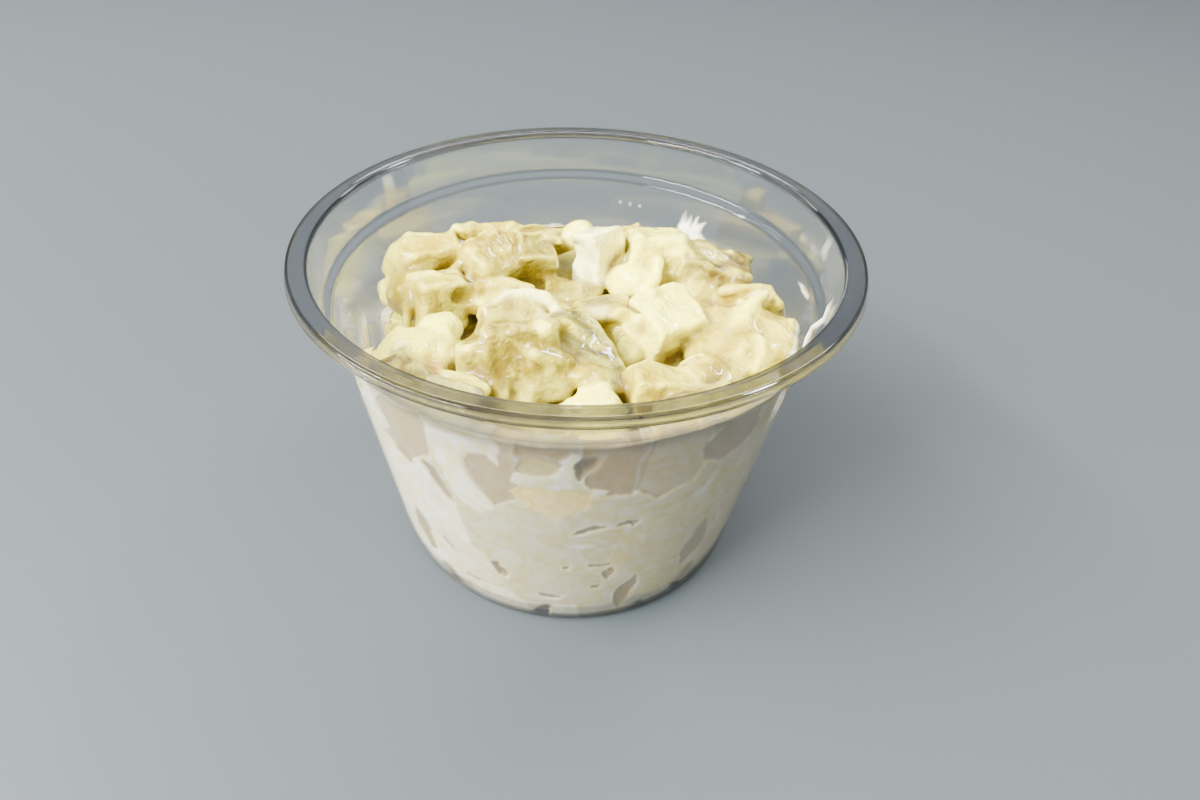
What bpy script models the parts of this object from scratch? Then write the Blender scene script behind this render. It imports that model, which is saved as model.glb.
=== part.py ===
"""Potato salad in a round clear plastic cup.

Metres, +Z up. The origin is the middle of the cup's flat base, and the eater looks from -Y.
The tables below are in millimetres and degrees.
"""

import math
import random

import bmesh
import bpy
import numpy as np
from mathutils import Matrix, Vector, noise

MM = 0.001
SEED = 11

# The cup: a thin formed shell with a step below its flange, where a lid's plug would sit.
WALL = 0.5
FLOOR = 0.5
CUP_SIDES = 72
FOOT_RADIUS = 45.0
FOOT_ROUNDING = 2.2
CREASE_RADIUS, CREASE_HEIGHT = 45.6, 9.0
LEDGE_RADIUS, LEDGE_HEIGHT = 52.6, 66.5
BAND_RADIUS, BAND_HEIGHT = 54.4, 68.35
MOUTH_RADIUS, MOUTH_HEIGHT = 55.6, 78.0
FLANGE_RADIUS, FLANGE_HEIGHT = 60.0, 78.9
SKIRT_RADIUS, SKIRT_HEIGHT = 60.5, 77.2
FLANGE_ROUNDING = 0.4

# The salad stops this far short of the cup, and its core sits deeper than the pieces pressed on the wall.
CUP_GAP = 0.35
CORE_GAP = 1.9
CORE_SIDES = 36
CORE_TOP = 54.0
CORE_DROP, CORE_REACH = 3.0, 50.0  # the core is this much lower at this radius than in the middle
CORE_ROUGHNESS = 1.4
CORE_ROUGH_SCALE = 9.0
SIDE_SHARES = (0.0, 0.16, 0.42, 0.7, 0.9, 1.0)
TOP_SHARES = (0.86, 0.64, 0.4, 0.18)

# Hollows in the top of the core: x, y, radius, depth.
HOLLOWS = (
    (-49.0, 4.0, 13.0, 17.0),  # between the left lobes and the wall
    (50.0, 9.0, 11.0, 5.0),  # behind the curved slice
    (12.5, -13.0, 5.5, 7.0),  # left of the wet cube
    (-29.0, -3.0, 6.0, 5.0),
    (-20.0, -8.0, 6.0, 5.0),
    (1.0, -36.0, 4.0, 5.0),
    (29.0, -31.0, 4.0, 4.0),
)

# Soft coated lumps: x, y, z, length, width, height, turn.
LUMPS = (
    (-15.5, 1.8, 57.0, 24.0, 6.5, 7.0, 8.0),  # shelf of dressing across the middle
    (-10.5, -9.0, 62.4, 15.0, 8.0, 8.5, 6.0),  # top of the wedge, under its rolled rim
    (-39.8, 16.0, 59.2, 15.0, 14.0, 14.5, 0.0),  # upper left lobe
    (-38.5, 5.5, 56.5, 14.0, 12.0, 12.0, 20.0),  # lower left lobe
    (-25.8, 19.5, 66.5, 6.0, 5.0, 5.0, 0.0),  # small knob
    (-29.0, 20.2, 66.6, 4.0, 3.6, 3.6, 0.0),
    (-22.5, 18.8, 66.6, 4.2, 3.6, 3.4, 0.0),
    (-7.5, 27.0, 60.5, 17.0, 9.0, 7.0, 0.0),  # wrinkled onion at the back
    (1.5, 27.0, 62.5, 8.5, 8.5, 8.0, 0.0),  # ball beside the egg
    (11.5, 25.0, 62.0, 6.0, 6.0, 6.0, 0.0),
    (42.0, 2.0, 58.0, 17.0, 10.0, 12.0, -15.0),  # curved slice on the right
    (37.0, -14.0, 57.0, 25.0, 22.0, 13.0, 0.0),  # broad mound on the right
    (28.0, -25.0, 56.5, 16.0, 13.0, 11.0, 10.0),
    (-32.0, -20.0, 57.0, 20.0, 16.0, 12.0, 0.0),  # white mound at the front left
    (-28.5, -13.5, 60.0, 10.0, 8.0, 7.5, 0.0),
    (-30.5, -29.5, 58.3, 13.0, 10.0, 7.0, 20.0),
    (-21.0, -32.5, 58.5, 9.0, 8.0, 7.0, -10.0),
    (3.0, -26.5, 59.5, 9.0, 6.0, 6.5, 0.0),
    (5.0, -35.0, 57.8, 13.0, 11.0, 8.5, 0.0),
    (-7.0, -40.0, 58.5, 12.0, 10.0, 8.0, 0.0),
    (13.0, -13.5, 54.5, 7.0, 9.0, 6.0, 0.0),  # low in the dark hollow
    (15.0, 11.5, 57.6, 13.0, 11.0, 9.0, 0.0),  # dressing between the egg and the block
    (31.0, 8.0, 56.5, 11.0, 9.0, 8.0, 0.0),
    (31.0, -7.0, 59.5, 9.0, 7.0, 7.0, 0.0),
)

# Cut pieces of potato and egg: x, y, z, length, width, height, turn, tip about X, tip about Y.
CUT_PIECES = (
    (-35.3, 14.6, 63.2, 14.5, 7.5, 7.0, 18.0, 12.0, -6.0),  # plank at the back left
    (-21.0, 12.5, 60.5, 13.0, 12.0, 12.5, 35.0, 18.0, 14.0),  # large coated chunk
    (-31.5, 2.0, 57.8, 12.0, 12.0, 13.0, 28.0, -12.0, 10.0),
    (-10.0, 17.0, 58.8, 11.0, 10.0, 12.5, 12.0, 6.0, 16.0),  # folded onion
    (6.5, 18.0, 60.5, 9.5, 10.0, 16.5, 42.0, -10.0, 4.0),  # upright egg white
    (20.6, 18.5, 60.0, 14.5, 13.0, 16.5, 6.0, -10.0, 4.0),  # big block at the back
    (34.5, 15.5, 58.0, 17.0, 14.0, 12.0, -14.0, 0.0, 14.0),  # rough tan potato
    (6.5, -1.5, 55.5, 11.0, 9.0, 9.0, 20.0, 8.0, 8.0),
    (21.0, -8.5, 59.3, 14.0, 12.5, 13.0, 34.0, 16.0, -6.0),  # wet cube
    (42.0, -13.0, 57.0, 13.0, 12.0, 11.0, -20.0, 0.0, 0.0),
    (-10.5, -17.5, 58.3, 16.0, 20.0, 14.0, 3.0, -25.0, 0.0),  # large wedge in the middle
    (-17.0, -20.0, 56.6, 9.0, 19.0, 12.0, -14.0, -26.0, -16.0),
    (-5.5, -21.0, 56.8, 9.5, 19.0, 11.0, 12.0, -25.0, 10.0),
    (3.8, -19.5, 60.2, 10.5, 25.0, 6.0, 26.0, 13.0, 6.0),  # band down the right of the wedge
    (18.5, -29.5, 57.6, 13.0, 10.0, 9.5, 12.0, -14.0, 10.0),
    (25.0, -35.0, 57.0, 11.0, 9.0, 9.0, -20.0, 0.0, 0.0),
    (0.0, 7.0, 53.5, 14.0, 12.0, 9.0, -15.0, 0.0, 0.0),
    (13.0, 33.0, 53.5, 13.0, 12.0, 11.0, 10.0, 0.0, 0.0),
    (-18.0, 33.0, 53.5, 14.0, 12.0, 11.0, -20.0, 8.0, 0.0),
)

# Drawn lumps that fill the heap between the pieces above.
FILLER_PITCH = 13.0
FILLER_REACH = 39.0
FILLER_HEIGHTS = (50.5, 53.0)
FILLER_SIZES = (12.0, 15.0)
FILLER_SHIFT = 2.0
FILLER_CLEARANCE = 8.0  # no lump is drawn this near the middle of a placed piece

# Pieces seen through the front of the wall: azimuth, height of the middle, width, height, roll.
WALL_PIECES = (
    (-126.0, 56.0, 17.0, 13.0, 8.0),
    (-112.0, 60.5, 13.0, 10.0, -6.0),
    (-107.0, 50.5, 11.0, 15.0, 4.0),
    (-126.0, 39.5, 17.0, 17.0, -4.0),
    (-117.0, 45.0, 6.0, 12.0, 20.0),
    (-96.0, 60.0, 9.0, 8.0, 0.0),
    (-88.5, 57.5, 6.0, 13.0, -12.0),
    (-93.0, 48.5, 16.0, 9.0, 3.0),
    (-95.0, 27.0, 23.0, 31.0, 0.0),
    (-119.0, 19.0, 18.0, 17.0, 6.0),
    (-79.0, 57.0, 11.0, 13.0, 5.0),
    (-52.0, 58.0, 15.0, 12.0, 0.0),
    (-57.0, 44.5, 7.0, 9.0, 25.0),
    (-65.0, 51.5, 17.0, 13.0, 14.0),
    (-67.0, 34.0, 21.0, 17.0, 14.0),
    (-50.0, 31.0, 13.0, 15.0, 10.0),
    (-54.0, 19.0, 12.0, 12.0, 0.0),
    (-108.0, 6.5, 17.0, 9.0, 0.0),
    (-86.0, 5.0, 9.0, 7.0, 0.0),
    (-66.0, 8.5, 13.0, 11.0, 0.0),
    (-48.0, 8.0, 10.0, 11.0, 0.0),
    (-129.0, 8.0, 12.0, 12.0, 0.0),
)

# Drawn pieces on the part of the wall that the front doesn't show.
SHOWN_AZIMUTHS = (-140.0, -40.0)
ROW_HEIGHTS = (8.0, 21.0, 34.0)
PIECES_A_ROW = 12
ROW_WIDTHS = (12.0, 16.5)
ROW_TALLS = (10.0, 15.0)
ROW_SHIFT = 2.0
ROW_ROLL = 18.0

# Pieces that stand round the edge of the heap. At the front they reach up to the cup's ledge.
EDGE_PIECES = 22
EDGE_HEIGHTS = (45.0, 47.5)
EDGE_WIDTHS = (12.0, 16.0)
EDGE_TALLS = (11.0, 14.0)
EDGE_SHIFT = 4.0
FRONT_AZIMUTHS = (-139.0, -38.0)
FRONT_RISE = 12.0

WALL_PIECE_DEPTH = 11.0
WALL_PIECE_PRESS = 1.2  # how much of a wall piece is squashed flat on the wall
WALL_PIECE_GAPS = (0.5, 1.0)

FLAT_DEGREES = 6.0  # faces within this angle of each other become one

BOXINESS = {"lump": 2.4, "filler": 3.0, "cut": 6.0, "wall": 5.0}
DIVISIONS = {"lump": 3, "filler": 2, "cut": 2, "wall": 2}
UNEVENNESS = {"lump": 0.05, "filler": 0.08, "cut": 0.05, "wall": 0.06}


def clear_scene():
    """An empty scene to build in."""
    for obj in list(bpy.data.objects):
        bpy.data.objects.remove(obj, do_unlink=True)


def inner_radius(height):
    """The radius of the cup's inner wall at a height, in millimetres."""
    heights = (FLOOR, FLOOR + FOOT_ROUNDING, CREASE_HEIGHT, LEDGE_HEIGHT, BAND_HEIGHT, MOUTH_HEIGHT)
    foot_inner = FOOT_RADIUS - WALL
    radii = (
        foot_inner - FOOT_ROUNDING,
        foot_inner,
        CREASE_RADIUS,
        LEDGE_RADIUS,
        BAND_RADIUS,
        MOUTH_RADIUS,
    )
    return float(np.interp(height, heights, radii))


def arc(centre, radius, start, end, steps):
    """Points of a profile on an arc, with angles measured from the radial direction."""
    angles = [math.radians(start + (end - start) * i / steps) for i in range(steps + 1)]
    return [(centre[0] + radius * math.cos(a), centre[1] + radius * math.sin(a)) for a in angles]


def cup_profile():
    """The cup's section as (radius, height) points: up the outside, over the flange, down the inside."""
    foot_outer = (FOOT_RADIUS - FOOT_ROUNDING, FOOT_ROUNDING)
    foot_inner = (FOOT_RADIUS - FOOT_ROUNDING, FLOOR + FOOT_ROUNDING - WALL)
    shoulder = (FLANGE_RADIUS - FLANGE_ROUNDING, FLANGE_HEIGHT - FLANGE_ROUNDING)
    outside = arc(foot_outer, FOOT_ROUNDING, -90, 0, 3) + [
        (CREASE_RADIUS + WALL, CREASE_HEIGHT),
        (LEDGE_RADIUS + WALL, LEDGE_HEIGHT),
        (BAND_RADIUS + WALL, BAND_HEIGHT),
        (MOUTH_RADIUS + WALL, MOUTH_HEIGHT - WALL),
        (FLANGE_RADIUS - WALL, FLANGE_HEIGHT - 2 * WALL),
        (SKIRT_RADIUS - WALL, SKIRT_HEIGHT),
        (SKIRT_RADIUS, SKIRT_HEIGHT),
    ]
    flange = arc(shoulder, FLANGE_ROUNDING, 0, 90, 2)
    inside = [
        (MOUTH_RADIUS + WALL, MOUTH_HEIGHT + WALL),
        (MOUTH_RADIUS, MOUTH_HEIGHT),
        (BAND_RADIUS, BAND_HEIGHT),
        (LEDGE_RADIUS, LEDGE_HEIGHT),
        (CREASE_RADIUS, CREASE_HEIGHT),
    ] + arc(foot_inner, FOOT_ROUNDING - WALL, 0, -90, 3)
    return outside + flange + inside


def turned(name, profile, sides):
    """A closed solid of revolution, from a profile that starts and ends beside the axis."""
    shape = bmesh.new()
    rings = []
    for radius, height in profile:
        ring = []
        for i in range(sides):
            angle = math.tau * i / sides
            point = (radius * math.cos(angle), radius * math.sin(angle), height)
            ring.append(shape.verts.new(Vector(point) * MM))
        rings.append(ring)
    for lower, upper in zip(rings, rings[1:]):
        for i in range(sides):
            j = (i + 1) % sides
            shape.faces.new((lower[i], lower[j], upper[j], upper[i]))
    for ring, height in ((rings[0], profile[0][1]), (rings[-1], profile[-1][1])):
        middle = shape.verts.new((0.0, 0.0, height * MM))
        for i in range(sides):
            shape.faces.new((ring[i], ring[(i + 1) % sides], middle))
    bmesh.ops.recalc_face_normals(shape, faces=shape.faces)
    return linked(name, shape)


def linked(name, shape):
    """The bmesh as an object in the scene."""
    mesh = bpy.data.meshes.new(name)
    shape.to_mesh(mesh)
    shape.free()
    obj = bpy.data.objects.new(name, mesh)
    bpy.context.scene.collection.objects.link(obj)
    return obj


def core_top(x, y):
    """The height of the salad's core over a point of its plan."""
    top = CORE_TOP - CORE_DROP * (math.hypot(x, y) / CORE_REACH) ** 2
    for hollow_x, hollow_y, radius, depth in HOLLOWS:
        distance = math.hypot(x - hollow_x, y - hollow_y)
        top -= depth * math.exp(-((distance / radius) ** 2))
    return top + CORE_ROUGHNESS * noise.noise(Vector((x, y, SEED)) / CORE_ROUGH_SCALE)


def edge_top(azimuth):
    """The height that the core reaches beside the wall."""
    radius = inner_radius(CORE_TOP) - CORE_GAP
    return core_top(radius * math.cos(azimuth), radius * math.sin(azimuth))


def salad_core():
    """The body of the salad, which the pieces stand on and in."""
    shape = bmesh.new()
    bottom = FLOOR + CUP_GAP
    angles = [math.tau * i / CORE_SIDES for i in range(CORE_SIDES)]
    rings = []
    for share in SIDE_SHARES:
        ring = []
        for angle in angles:
            height = bottom + share * (edge_top(angle) - bottom)
            radius = inner_radius(height) - CORE_GAP
            point = Vector((radius * math.cos(angle), radius * math.sin(angle), height))
            ring.append(shape.verts.new(point * MM))
        rings.append(ring)
    for share in TOP_SHARES:
        radius = share * (inner_radius(CORE_TOP) - CORE_GAP)
        ring = []
        for angle in angles:
            x, y = radius * math.cos(angle), radius * math.sin(angle)
            ring.append(shape.verts.new(Vector((x, y, core_top(x, y))) * MM))
        rings.append(ring)
    for lower, upper in zip(rings, rings[1:]):
        for i in range(CORE_SIDES):
            j = (i + 1) % CORE_SIDES
            shape.faces.new((lower[i], lower[j], upper[j], upper[i]))
    shape.faces.new(list(reversed(rings[0])))
    shape.faces.new(rings[-1])
    bmesh.ops.triangulate(shape, faces=shape.faces)
    bmesh.ops.recalc_face_normals(shape, faces=shape.faces)
    return linked("potato_salad", shape)


def rounded_piece(kind, size, draw):
    """A block or lump of the given size about the origin, with rounded corners and uneven sides."""
    shape = bmesh.new()
    bmesh.ops.create_cube(shape, size=2.0)
    cuts = DIVISIONS[kind] - 1
    bmesh.ops.subdivide_edges(shape, edges=shape.edges, cuts=cuts, use_grid_fill=True)
    power = BOXINESS[kind]
    for vertex in shape.verts:
        way = vertex.co.normalized()
        reach = sum(abs(part) ** power for part in way) ** (-1.0 / power)
        reach *= 1.0 + draw.uniform(-UNEVENNESS[kind], UNEVENNESS[kind])
        vertex.co = Vector(part * reach * side / 2 * MM for part, side in zip(way, size))
    bmesh.ops.triangulate(shape, faces=shape.faces)
    return linked(kind, shape)


def placed(obj, centre, turn=0.0, tip_x=0.0, tip_y=0.0):
    """The object turned in place and moved to its centre, written into its mesh."""
    turning = (
        Matrix.Rotation(math.radians(turn), 4, "Z")
        @ Matrix.Rotation(math.radians(tip_x), 4, "X")
        @ Matrix.Rotation(math.radians(tip_y), 4, "Y")
    )
    obj.data.transform(Matrix.Translation(Vector(centre) * MM) @ turning)
    return obj


def filler_rows():
    """Where the drawn lumps stand: x, y, z, length, width, height, turn."""
    draw = random.Random(SEED)
    rows = []
    steps = int(FILLER_REACH // FILLER_PITCH)
    for line in range(-steps, steps + 1):
        for column in range(-steps - 1, steps + 1):
            x = (column + 0.5 * (line % 2)) * FILLER_PITCH + draw.uniform(-FILLER_SHIFT, FILLER_SHIFT)
            y = line * FILLER_PITCH + draw.uniform(-FILLER_SHIFT, FILLER_SHIFT)
            z = draw.uniform(*FILLER_HEIGHTS) + core_top(x, y) - CORE_TOP
            size = [draw.uniform(*FILLER_SIZES) for _ in range(3)]
            turn = draw.uniform(0.0, 90.0)
            nearest = min(math.hypot(x - row[0], y - row[1]) for row in LUMPS + CUT_PIECES)
            if math.hypot(x, y) < FILLER_REACH and nearest > FILLER_CLEARANCE:
                rows.append((x, y, z, *size, turn))
    return rows


def wall_rows():
    """The pieces on the wall: those that the front shows, and drawn ones like them round the rest."""
    draw = random.Random(SEED)
    rows = list(WALL_PIECES)
    start = SHOWN_AZIMUTHS[1]
    step = (SHOWN_AZIMUTHS[0] + 360.0 - start) / PIECES_A_ROW
    for row, height in enumerate(ROW_HEIGHTS):
        for i in range(PIECES_A_ROW):
            azimuth = start + step * (i + 0.3 + 0.4 * (row % 2)) + draw.uniform(-ROW_SHIFT, ROW_SHIFT)
            middle = height + draw.uniform(-ROW_SHIFT, ROW_SHIFT)
            width, tall = draw.uniform(*ROW_WIDTHS), draw.uniform(*ROW_TALLS)
            rows.append((azimuth, middle, width, tall, draw.uniform(-ROW_ROLL, ROW_ROLL)))
    return rows


def edge_rows():
    """The pieces round the edge of the heap, lower where the core dips."""
    draw = random.Random(SEED + 1)
    rows = []
    for i in range(EDGE_PIECES):
        azimuth = i * 360.0 / EDGE_PIECES - 180.0 + draw.uniform(-EDGE_SHIFT, EDGE_SHIFT)
        middle = draw.uniform(*EDGE_HEIGHTS)
        width, tall = draw.uniform(*EDGE_WIDTHS), draw.uniform(*EDGE_TALLS)
        if FRONT_AZIMUTHS[0] < azimuth < FRONT_AZIMUTHS[1]:
            middle += FRONT_RISE
        dip = CORE_TOP - CORE_DROP - edge_top(math.radians(azimuth))
        rows.append((azimuth, middle - dip, width, tall, 0.0))
    return rows


def top_pieces(draw):
    """The lumps and cut pieces that show on top of the heap."""
    made = []
    for kind, rows in (("lump", LUMPS), ("filler", filler_rows())):
        for x, y, z, length, width, height, turn in rows:
            lump = rounded_piece(kind, (length, width, height), draw)
            made.append(placed(lump, (x, y, z), turn))
    for x, y, z, length, width, height, turn, tip_x, tip_y in CUT_PIECES:
        piece = rounded_piece("cut", (length, width, height), draw)
        made.append(placed(piece, (x, y, z), turn, tip_x, tip_y))
    return made


def wall_piece(azimuth, height, width, tall, roll, draw):
    """A piece bent to the wall and squashed flat on it."""
    lowest = FLOOR + CUP_GAP
    gap = draw.uniform(*WALL_PIECE_GAPS)
    piece = rounded_piece("wall", (width, WALL_PIECE_DEPTH, tall), draw)
    placed(piece, (0.0, 0.0, 0.0), tip_y=roll)
    for vertex in piece.data.vertices:
        along, outward, up = vertex.co / MM
        level = max(height + up, lowest)
        inward = max(WALL_PIECE_DEPTH / 2 - outward - WALL_PIECE_PRESS, 0.0)
        radius = inner_radius(level) - gap - inward
        angle = math.radians(azimuth) - along / inner_radius(height)
        vertex.co = Vector((radius * math.cos(angle), radius * math.sin(angle), level)) * MM
    return piece


def wall_pieces(draw):
    """Every piece on the wall."""
    return [wall_piece(*row, draw) for row in wall_rows() + edge_rows()]


def apply_modifiers(obj):
    """Writes what the modifiers make into the object's own mesh."""
    graph = bpy.context.evaluated_depsgraph_get()
    mesh = bpy.data.meshes.new_from_object(obj.evaluated_get(graph))
    obj.modifiers.clear()
    obj.data = mesh


def unite(body, pieces):
    """Joins the pieces to the body in one union, and removes them."""
    gathered = bpy.data.collections.new("pieces")
    bpy.context.scene.collection.children.link(gathered)
    for piece in pieces:
        bpy.context.scene.collection.objects.unlink(piece)
        gathered.objects.link(piece)
    union = body.modifiers.new("pieces", "BOOLEAN")
    union.operation = "UNION"
    union.operand_type = "COLLECTION"
    union.collection = gathered
    union.solver = "MANIFOLD"
    apply_modifiers(body)
    for piece in pieces:
        bpy.data.objects.remove(piece, do_unlink=True)
    bpy.data.collections.remove(gathered)


def trim_to_cup(body):
    """Cuts the salad back to the inside of the cup, less the gap."""
    heights = (FLOOR + CUP_GAP, FLOOR + FOOT_ROUNDING, CREASE_HEIGHT, LEDGE_HEIGHT, MOUTH_HEIGHT)
    profile = [(inner_radius(height) - CUP_GAP, height) for height in heights]
    space = turned("cup_space", profile, CUP_SIDES)
    trim = body.modifiers.new("cup", "BOOLEAN")
    trim.operation = "INTERSECT"
    trim.object = space
    trim.solver = "MANIFOLD"
    apply_modifiers(body)
    bpy.data.objects.remove(space, do_unlink=True)


def keep_outer_skin(body):
    """Drops loose scraps and fills sealed hollows, by keeping only the largest connected surface.

    Faces that lie nearly flat together are merged, to leave few sides.
    """
    shape = bmesh.new()
    shape.from_mesh(body.data)
    unseen = set(shape.faces)
    surfaces = []
    while unseen:
        reached = [unseen.pop()]
        for face in reached:
            beside = {other for edge in face.edges for other in edge.link_faces} & unseen
            unseen -= beside
            reached.extend(beside)
        surfaces.append(reached)
    surfaces.sort(key=len)
    for surface in surfaces[:-1]:
        bmesh.ops.delete(shape, geom=surface, context="FACES")
    flat = math.radians(FLAT_DEGREES)
    bmesh.ops.dissolve_limit(shape, angle_limit=flat, verts=shape.verts, edges=shape.edges)
    bmesh.ops.triangulate(shape, faces=shape.faces)
    shape.to_mesh(body.data)
    shape.free()


def material(name, colour, roughness, transmission=0.0, ior=1.45):
    """A plain material."""
    made = bpy.data.materials.new(name)
    made.use_nodes = True
    shader = made.node_tree.nodes["Principled BSDF"]
    shader.inputs["Base Color"].default_value = (*colour, 1.0)
    shader.inputs["Roughness"].default_value = roughness
    shader.inputs["Transmission Weight"].default_value = transmission
    shader.inputs["IOR"].default_value = ior
    return made


def cup():
    """The clear cup."""
    obj = turned("cup", cup_profile(), CUP_SIDES)
    obj.data.materials.append(material("clear_plastic", (0.95, 0.96, 0.96), 0.05, 1.0, 1.57))
    return obj


def potato_salad():
    """The salad: one heap of coated potato, egg and onion."""
    draw = random.Random(SEED)
    body = salad_core()
    unite(body, top_pieces(draw) + wall_pieces(draw))
    trim_to_cup(body)
    keep_outer_skin(body)
    body.data.materials.clear()
    body.data.materials.append(material("salad", (0.85, 0.76, 0.5), 0.35))
    return body


clear_scene()
cup()
potato_salad()
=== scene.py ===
"""Looks for a potato salad in a round clear plastic cup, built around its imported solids.

Sizes in the tables are in millimetres and degrees. Meshes are made in metres, +Z up.
"""

import math
import random

import bpy
import numpy as np
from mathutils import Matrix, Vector


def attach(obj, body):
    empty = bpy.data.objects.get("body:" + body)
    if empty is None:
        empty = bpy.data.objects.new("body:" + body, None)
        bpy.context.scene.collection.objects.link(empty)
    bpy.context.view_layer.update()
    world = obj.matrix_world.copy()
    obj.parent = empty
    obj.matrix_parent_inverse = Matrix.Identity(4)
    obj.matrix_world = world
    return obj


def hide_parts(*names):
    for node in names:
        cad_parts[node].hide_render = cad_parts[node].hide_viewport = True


MM = 0.001
SEED = 11

# The cup, as in the solids.
WALL = 0.5
FLOOR = 0.5
FOOT_RADIUS = 45.0
FOOT_ROUNDING = 2.2
CREASE_RADIUS, CREASE_HEIGHT = 45.6, 9.0
LEDGE_RADIUS, LEDGE_HEIGHT = 52.6, 66.5
BAND_RADIUS, BAND_HEIGHT = 54.4, 68.35
MOUTH_RADIUS, MOUTH_HEIGHT = 55.6, 78.0
FLANGE_RADIUS, FLANGE_HEIGHT = 60.0, 78.9
SKIRT_RADIUS, SKIRT_HEIGHT = 60.5, 77.2
CUP_SIDES = 256
ROUNDING_STEPS, ROUNDING_SHARE = 5, 0.45  # points of a rounded corner, and the most it takes of a side
# The plastic in each part of the cup: linear colour, then alpha, the share of light that it catches. The
# grey of the ledge, flange and skirt and the near-black edges are painted shade for the dark lines and
# greyness that refraction and reflection give them.
PLASTIC = {
    "wall": (0.76, 0.77, 0.78, 0.42),
    "ledge": (0.45, 0.46, 0.49, 0.7),
    "mouth": (0.74, 0.75, 0.77, 0.5),
    "flange": (0.44, 0.44, 0.47, 0.84),
    "skirt": (0.6, 0.6, 0.64, 0.7),
    "edge": (0.06, 0.058, 0.062, 0.95),
}
INTO_WALL = 0.12  # the salad reaches this far into the plastic, so that it looks wet against it
SALAD_LOWEST = FLOOR + 0.35  # where the skin on the wall starts
HUB_RADIUS = 2.0  # turned meshes start this far from the axis, with one flat face inside

# The heap's core, as in the solids, with its hollows as x, y, radius, depth.
CORE_TOP = 54.0
CORE_DROP, CORE_REACH = 3.0, 50.0  # the core is this much lower at this radius than in the middle
CORE_ROUGHNESS = 1.4
HOLLOWS = (
    (-49, 4, 13, 17),
    (50, 9, 11, 5),
    (12.5, -13, 5.5, 7),
    (-29, -3, 6, 5),
    (-20, -8, 6, 5),
    (1, -36, 4, 5),
    (29, -31, 4, 4),
)

# Pieces that stand round the edge of the heap. At the front they reach up to the cup's ledge.
EDGE_PIECES = 22
EDGE_HEIGHTS = (45.0, 47.5)
EDGE_WIDTHS = (12.0, 16.0)
EDGE_TALLS = (11.0, 14.0)
EDGE_DEPTH = 11.0
EDGE_INSET = 4.0  # from the wall to their middles
EDGE_SHIFT = 4.0
EDGE_KINDS = ("cream", "dressing", "potato", "cream", "egg")
FRONT_AZIMUTHS = (-139.0, -38.0)
FRONT_RISE = 12.0

# How the heap is meshed.
STEP = 0.58
RELAX_ROUNDS = 2
SOFTNESS = 0.45  # how far dressing rounds the corner where two pieces meet
GRID_LOW, GRID_HIGH = (-54.5, -54.5, 34.0), (54.5, 54.5, 71.5)
TOP_INSET = 0.45  # the top's skin stops this far short of the wall, behind the skin on the wall
SCRAP_FACES = 30  # loose scraps with no more faces than this are dropped
TUCKED_STEPS = 4  # how many steps of the top's skin are kept where it turns down behind that skin
BEHIND_SKIN = -0.3  # millimetres beyond the top's edge from which it counts as behind that skin
NEAR_REACH, FAR_REACH = 1.6, 4.0  # how far round a point is looked at to tell folds and crevices

# How far pieces are bent out of shape, and their finer relief: the width of the bumps, then their depth.
SWAY_WIDTH, SWAY_DEPTH = 8.0, 0.9
CRUMPLE_WIDTH, CRUMPLE_DEPTH = 3.0, 0.45
GRAIN_WIDTH, GRAIN_DEPTH = 1.6, 0.12
CREASE_WIDTH = 2.6
CORE_ROUGH_WIDTH = 9.0
RIDGE_BEND = 0.4  # folds and drips take this much of the bending
# How far beyond its own size a piece is melted in.
LUMP_MARGIN, BLOCK_MARGIN, RIDGE_MARGIN = 3.0, 2.0, 4.0

# Colours as sRGB out of 255.
CREAM = (158, 140, 16)
DRESSING = (250, 244, 96)
COATING = (248, 240, 98)
EGG_WHITE = (254, 254, 190)
POTATO = (172, 152, 20)
TAN = (84, 64, 18)
ONION = (124, 109, 16)
WET_ONION = (64, 56, 8)
# painted shade for crevices and for the core that shows between pieces
CREVICE_SHADE = (118, 99, 36)
ORANGE = (196, 136, 54)
FILM = (212, 207, 182)
# a white film of dressing, also laid as painted light on the lit left of the wall and as a painted
# highlight
FILM_WHITE_AND_LIGHT = (252, 250, 238)
FILM_PINK = (240, 230, 208)
# a dimmer film, also laid as painted shade on the right of the wall, away from the light
FILM_DIM_AND_SHADE = (222, 214, 186)
LAVENDER = (234, 234, 232)
PRESSED_TAN = (236, 214, 166)
PRESSED_BROWN = (208, 178, 116)
PRESSED_OLIVE = (190, 162, 92)
PRESSED_YELLOW = (240, 220, 150)
GLOW = (252, 234, 160)
# painted shade in a pocket where the salad stands back from the wall
POCKET_SHADE = (140, 104, 54)
# painted shade in slits and gaps between pieces, and in the dark line round deep shapes
SLIT_SHADE = (168, 146, 104)
SHADED = (92, 77, 42)

# Which share of the space round a point is filled where crevices get a painted shade, and where folds are
# made paler.
CREVICE_SHADE_FILLING = (0.47, 0.74)
FOLD_FILLING, FOLD_PALING = (0.45, 0.3), 0.35
# The heap's top takes the pressed brown towards the wall, halved as a painted shade, and a painted shade at
# the front: where, in millimetres beyond its edge, then how much.
PRESSED_PLACE, PRESSED_SHADE_SHARE = (-0.9, -0.3), 0.85
SHADED_PLACE, SHADED_SHARE = (-14.5, -10.0), 0.85
FRONT = -90.0
SHADED_SPREAD = (60.0, 45.0)  # degrees to each side of the front over which the shade comes in
# The same shade on the wall under the ledge, by height.
LEDGE_SHADE_HEIGHTS, LEDGE_SHADE_SHARE = (61.5, 65.5), 0.6

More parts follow.
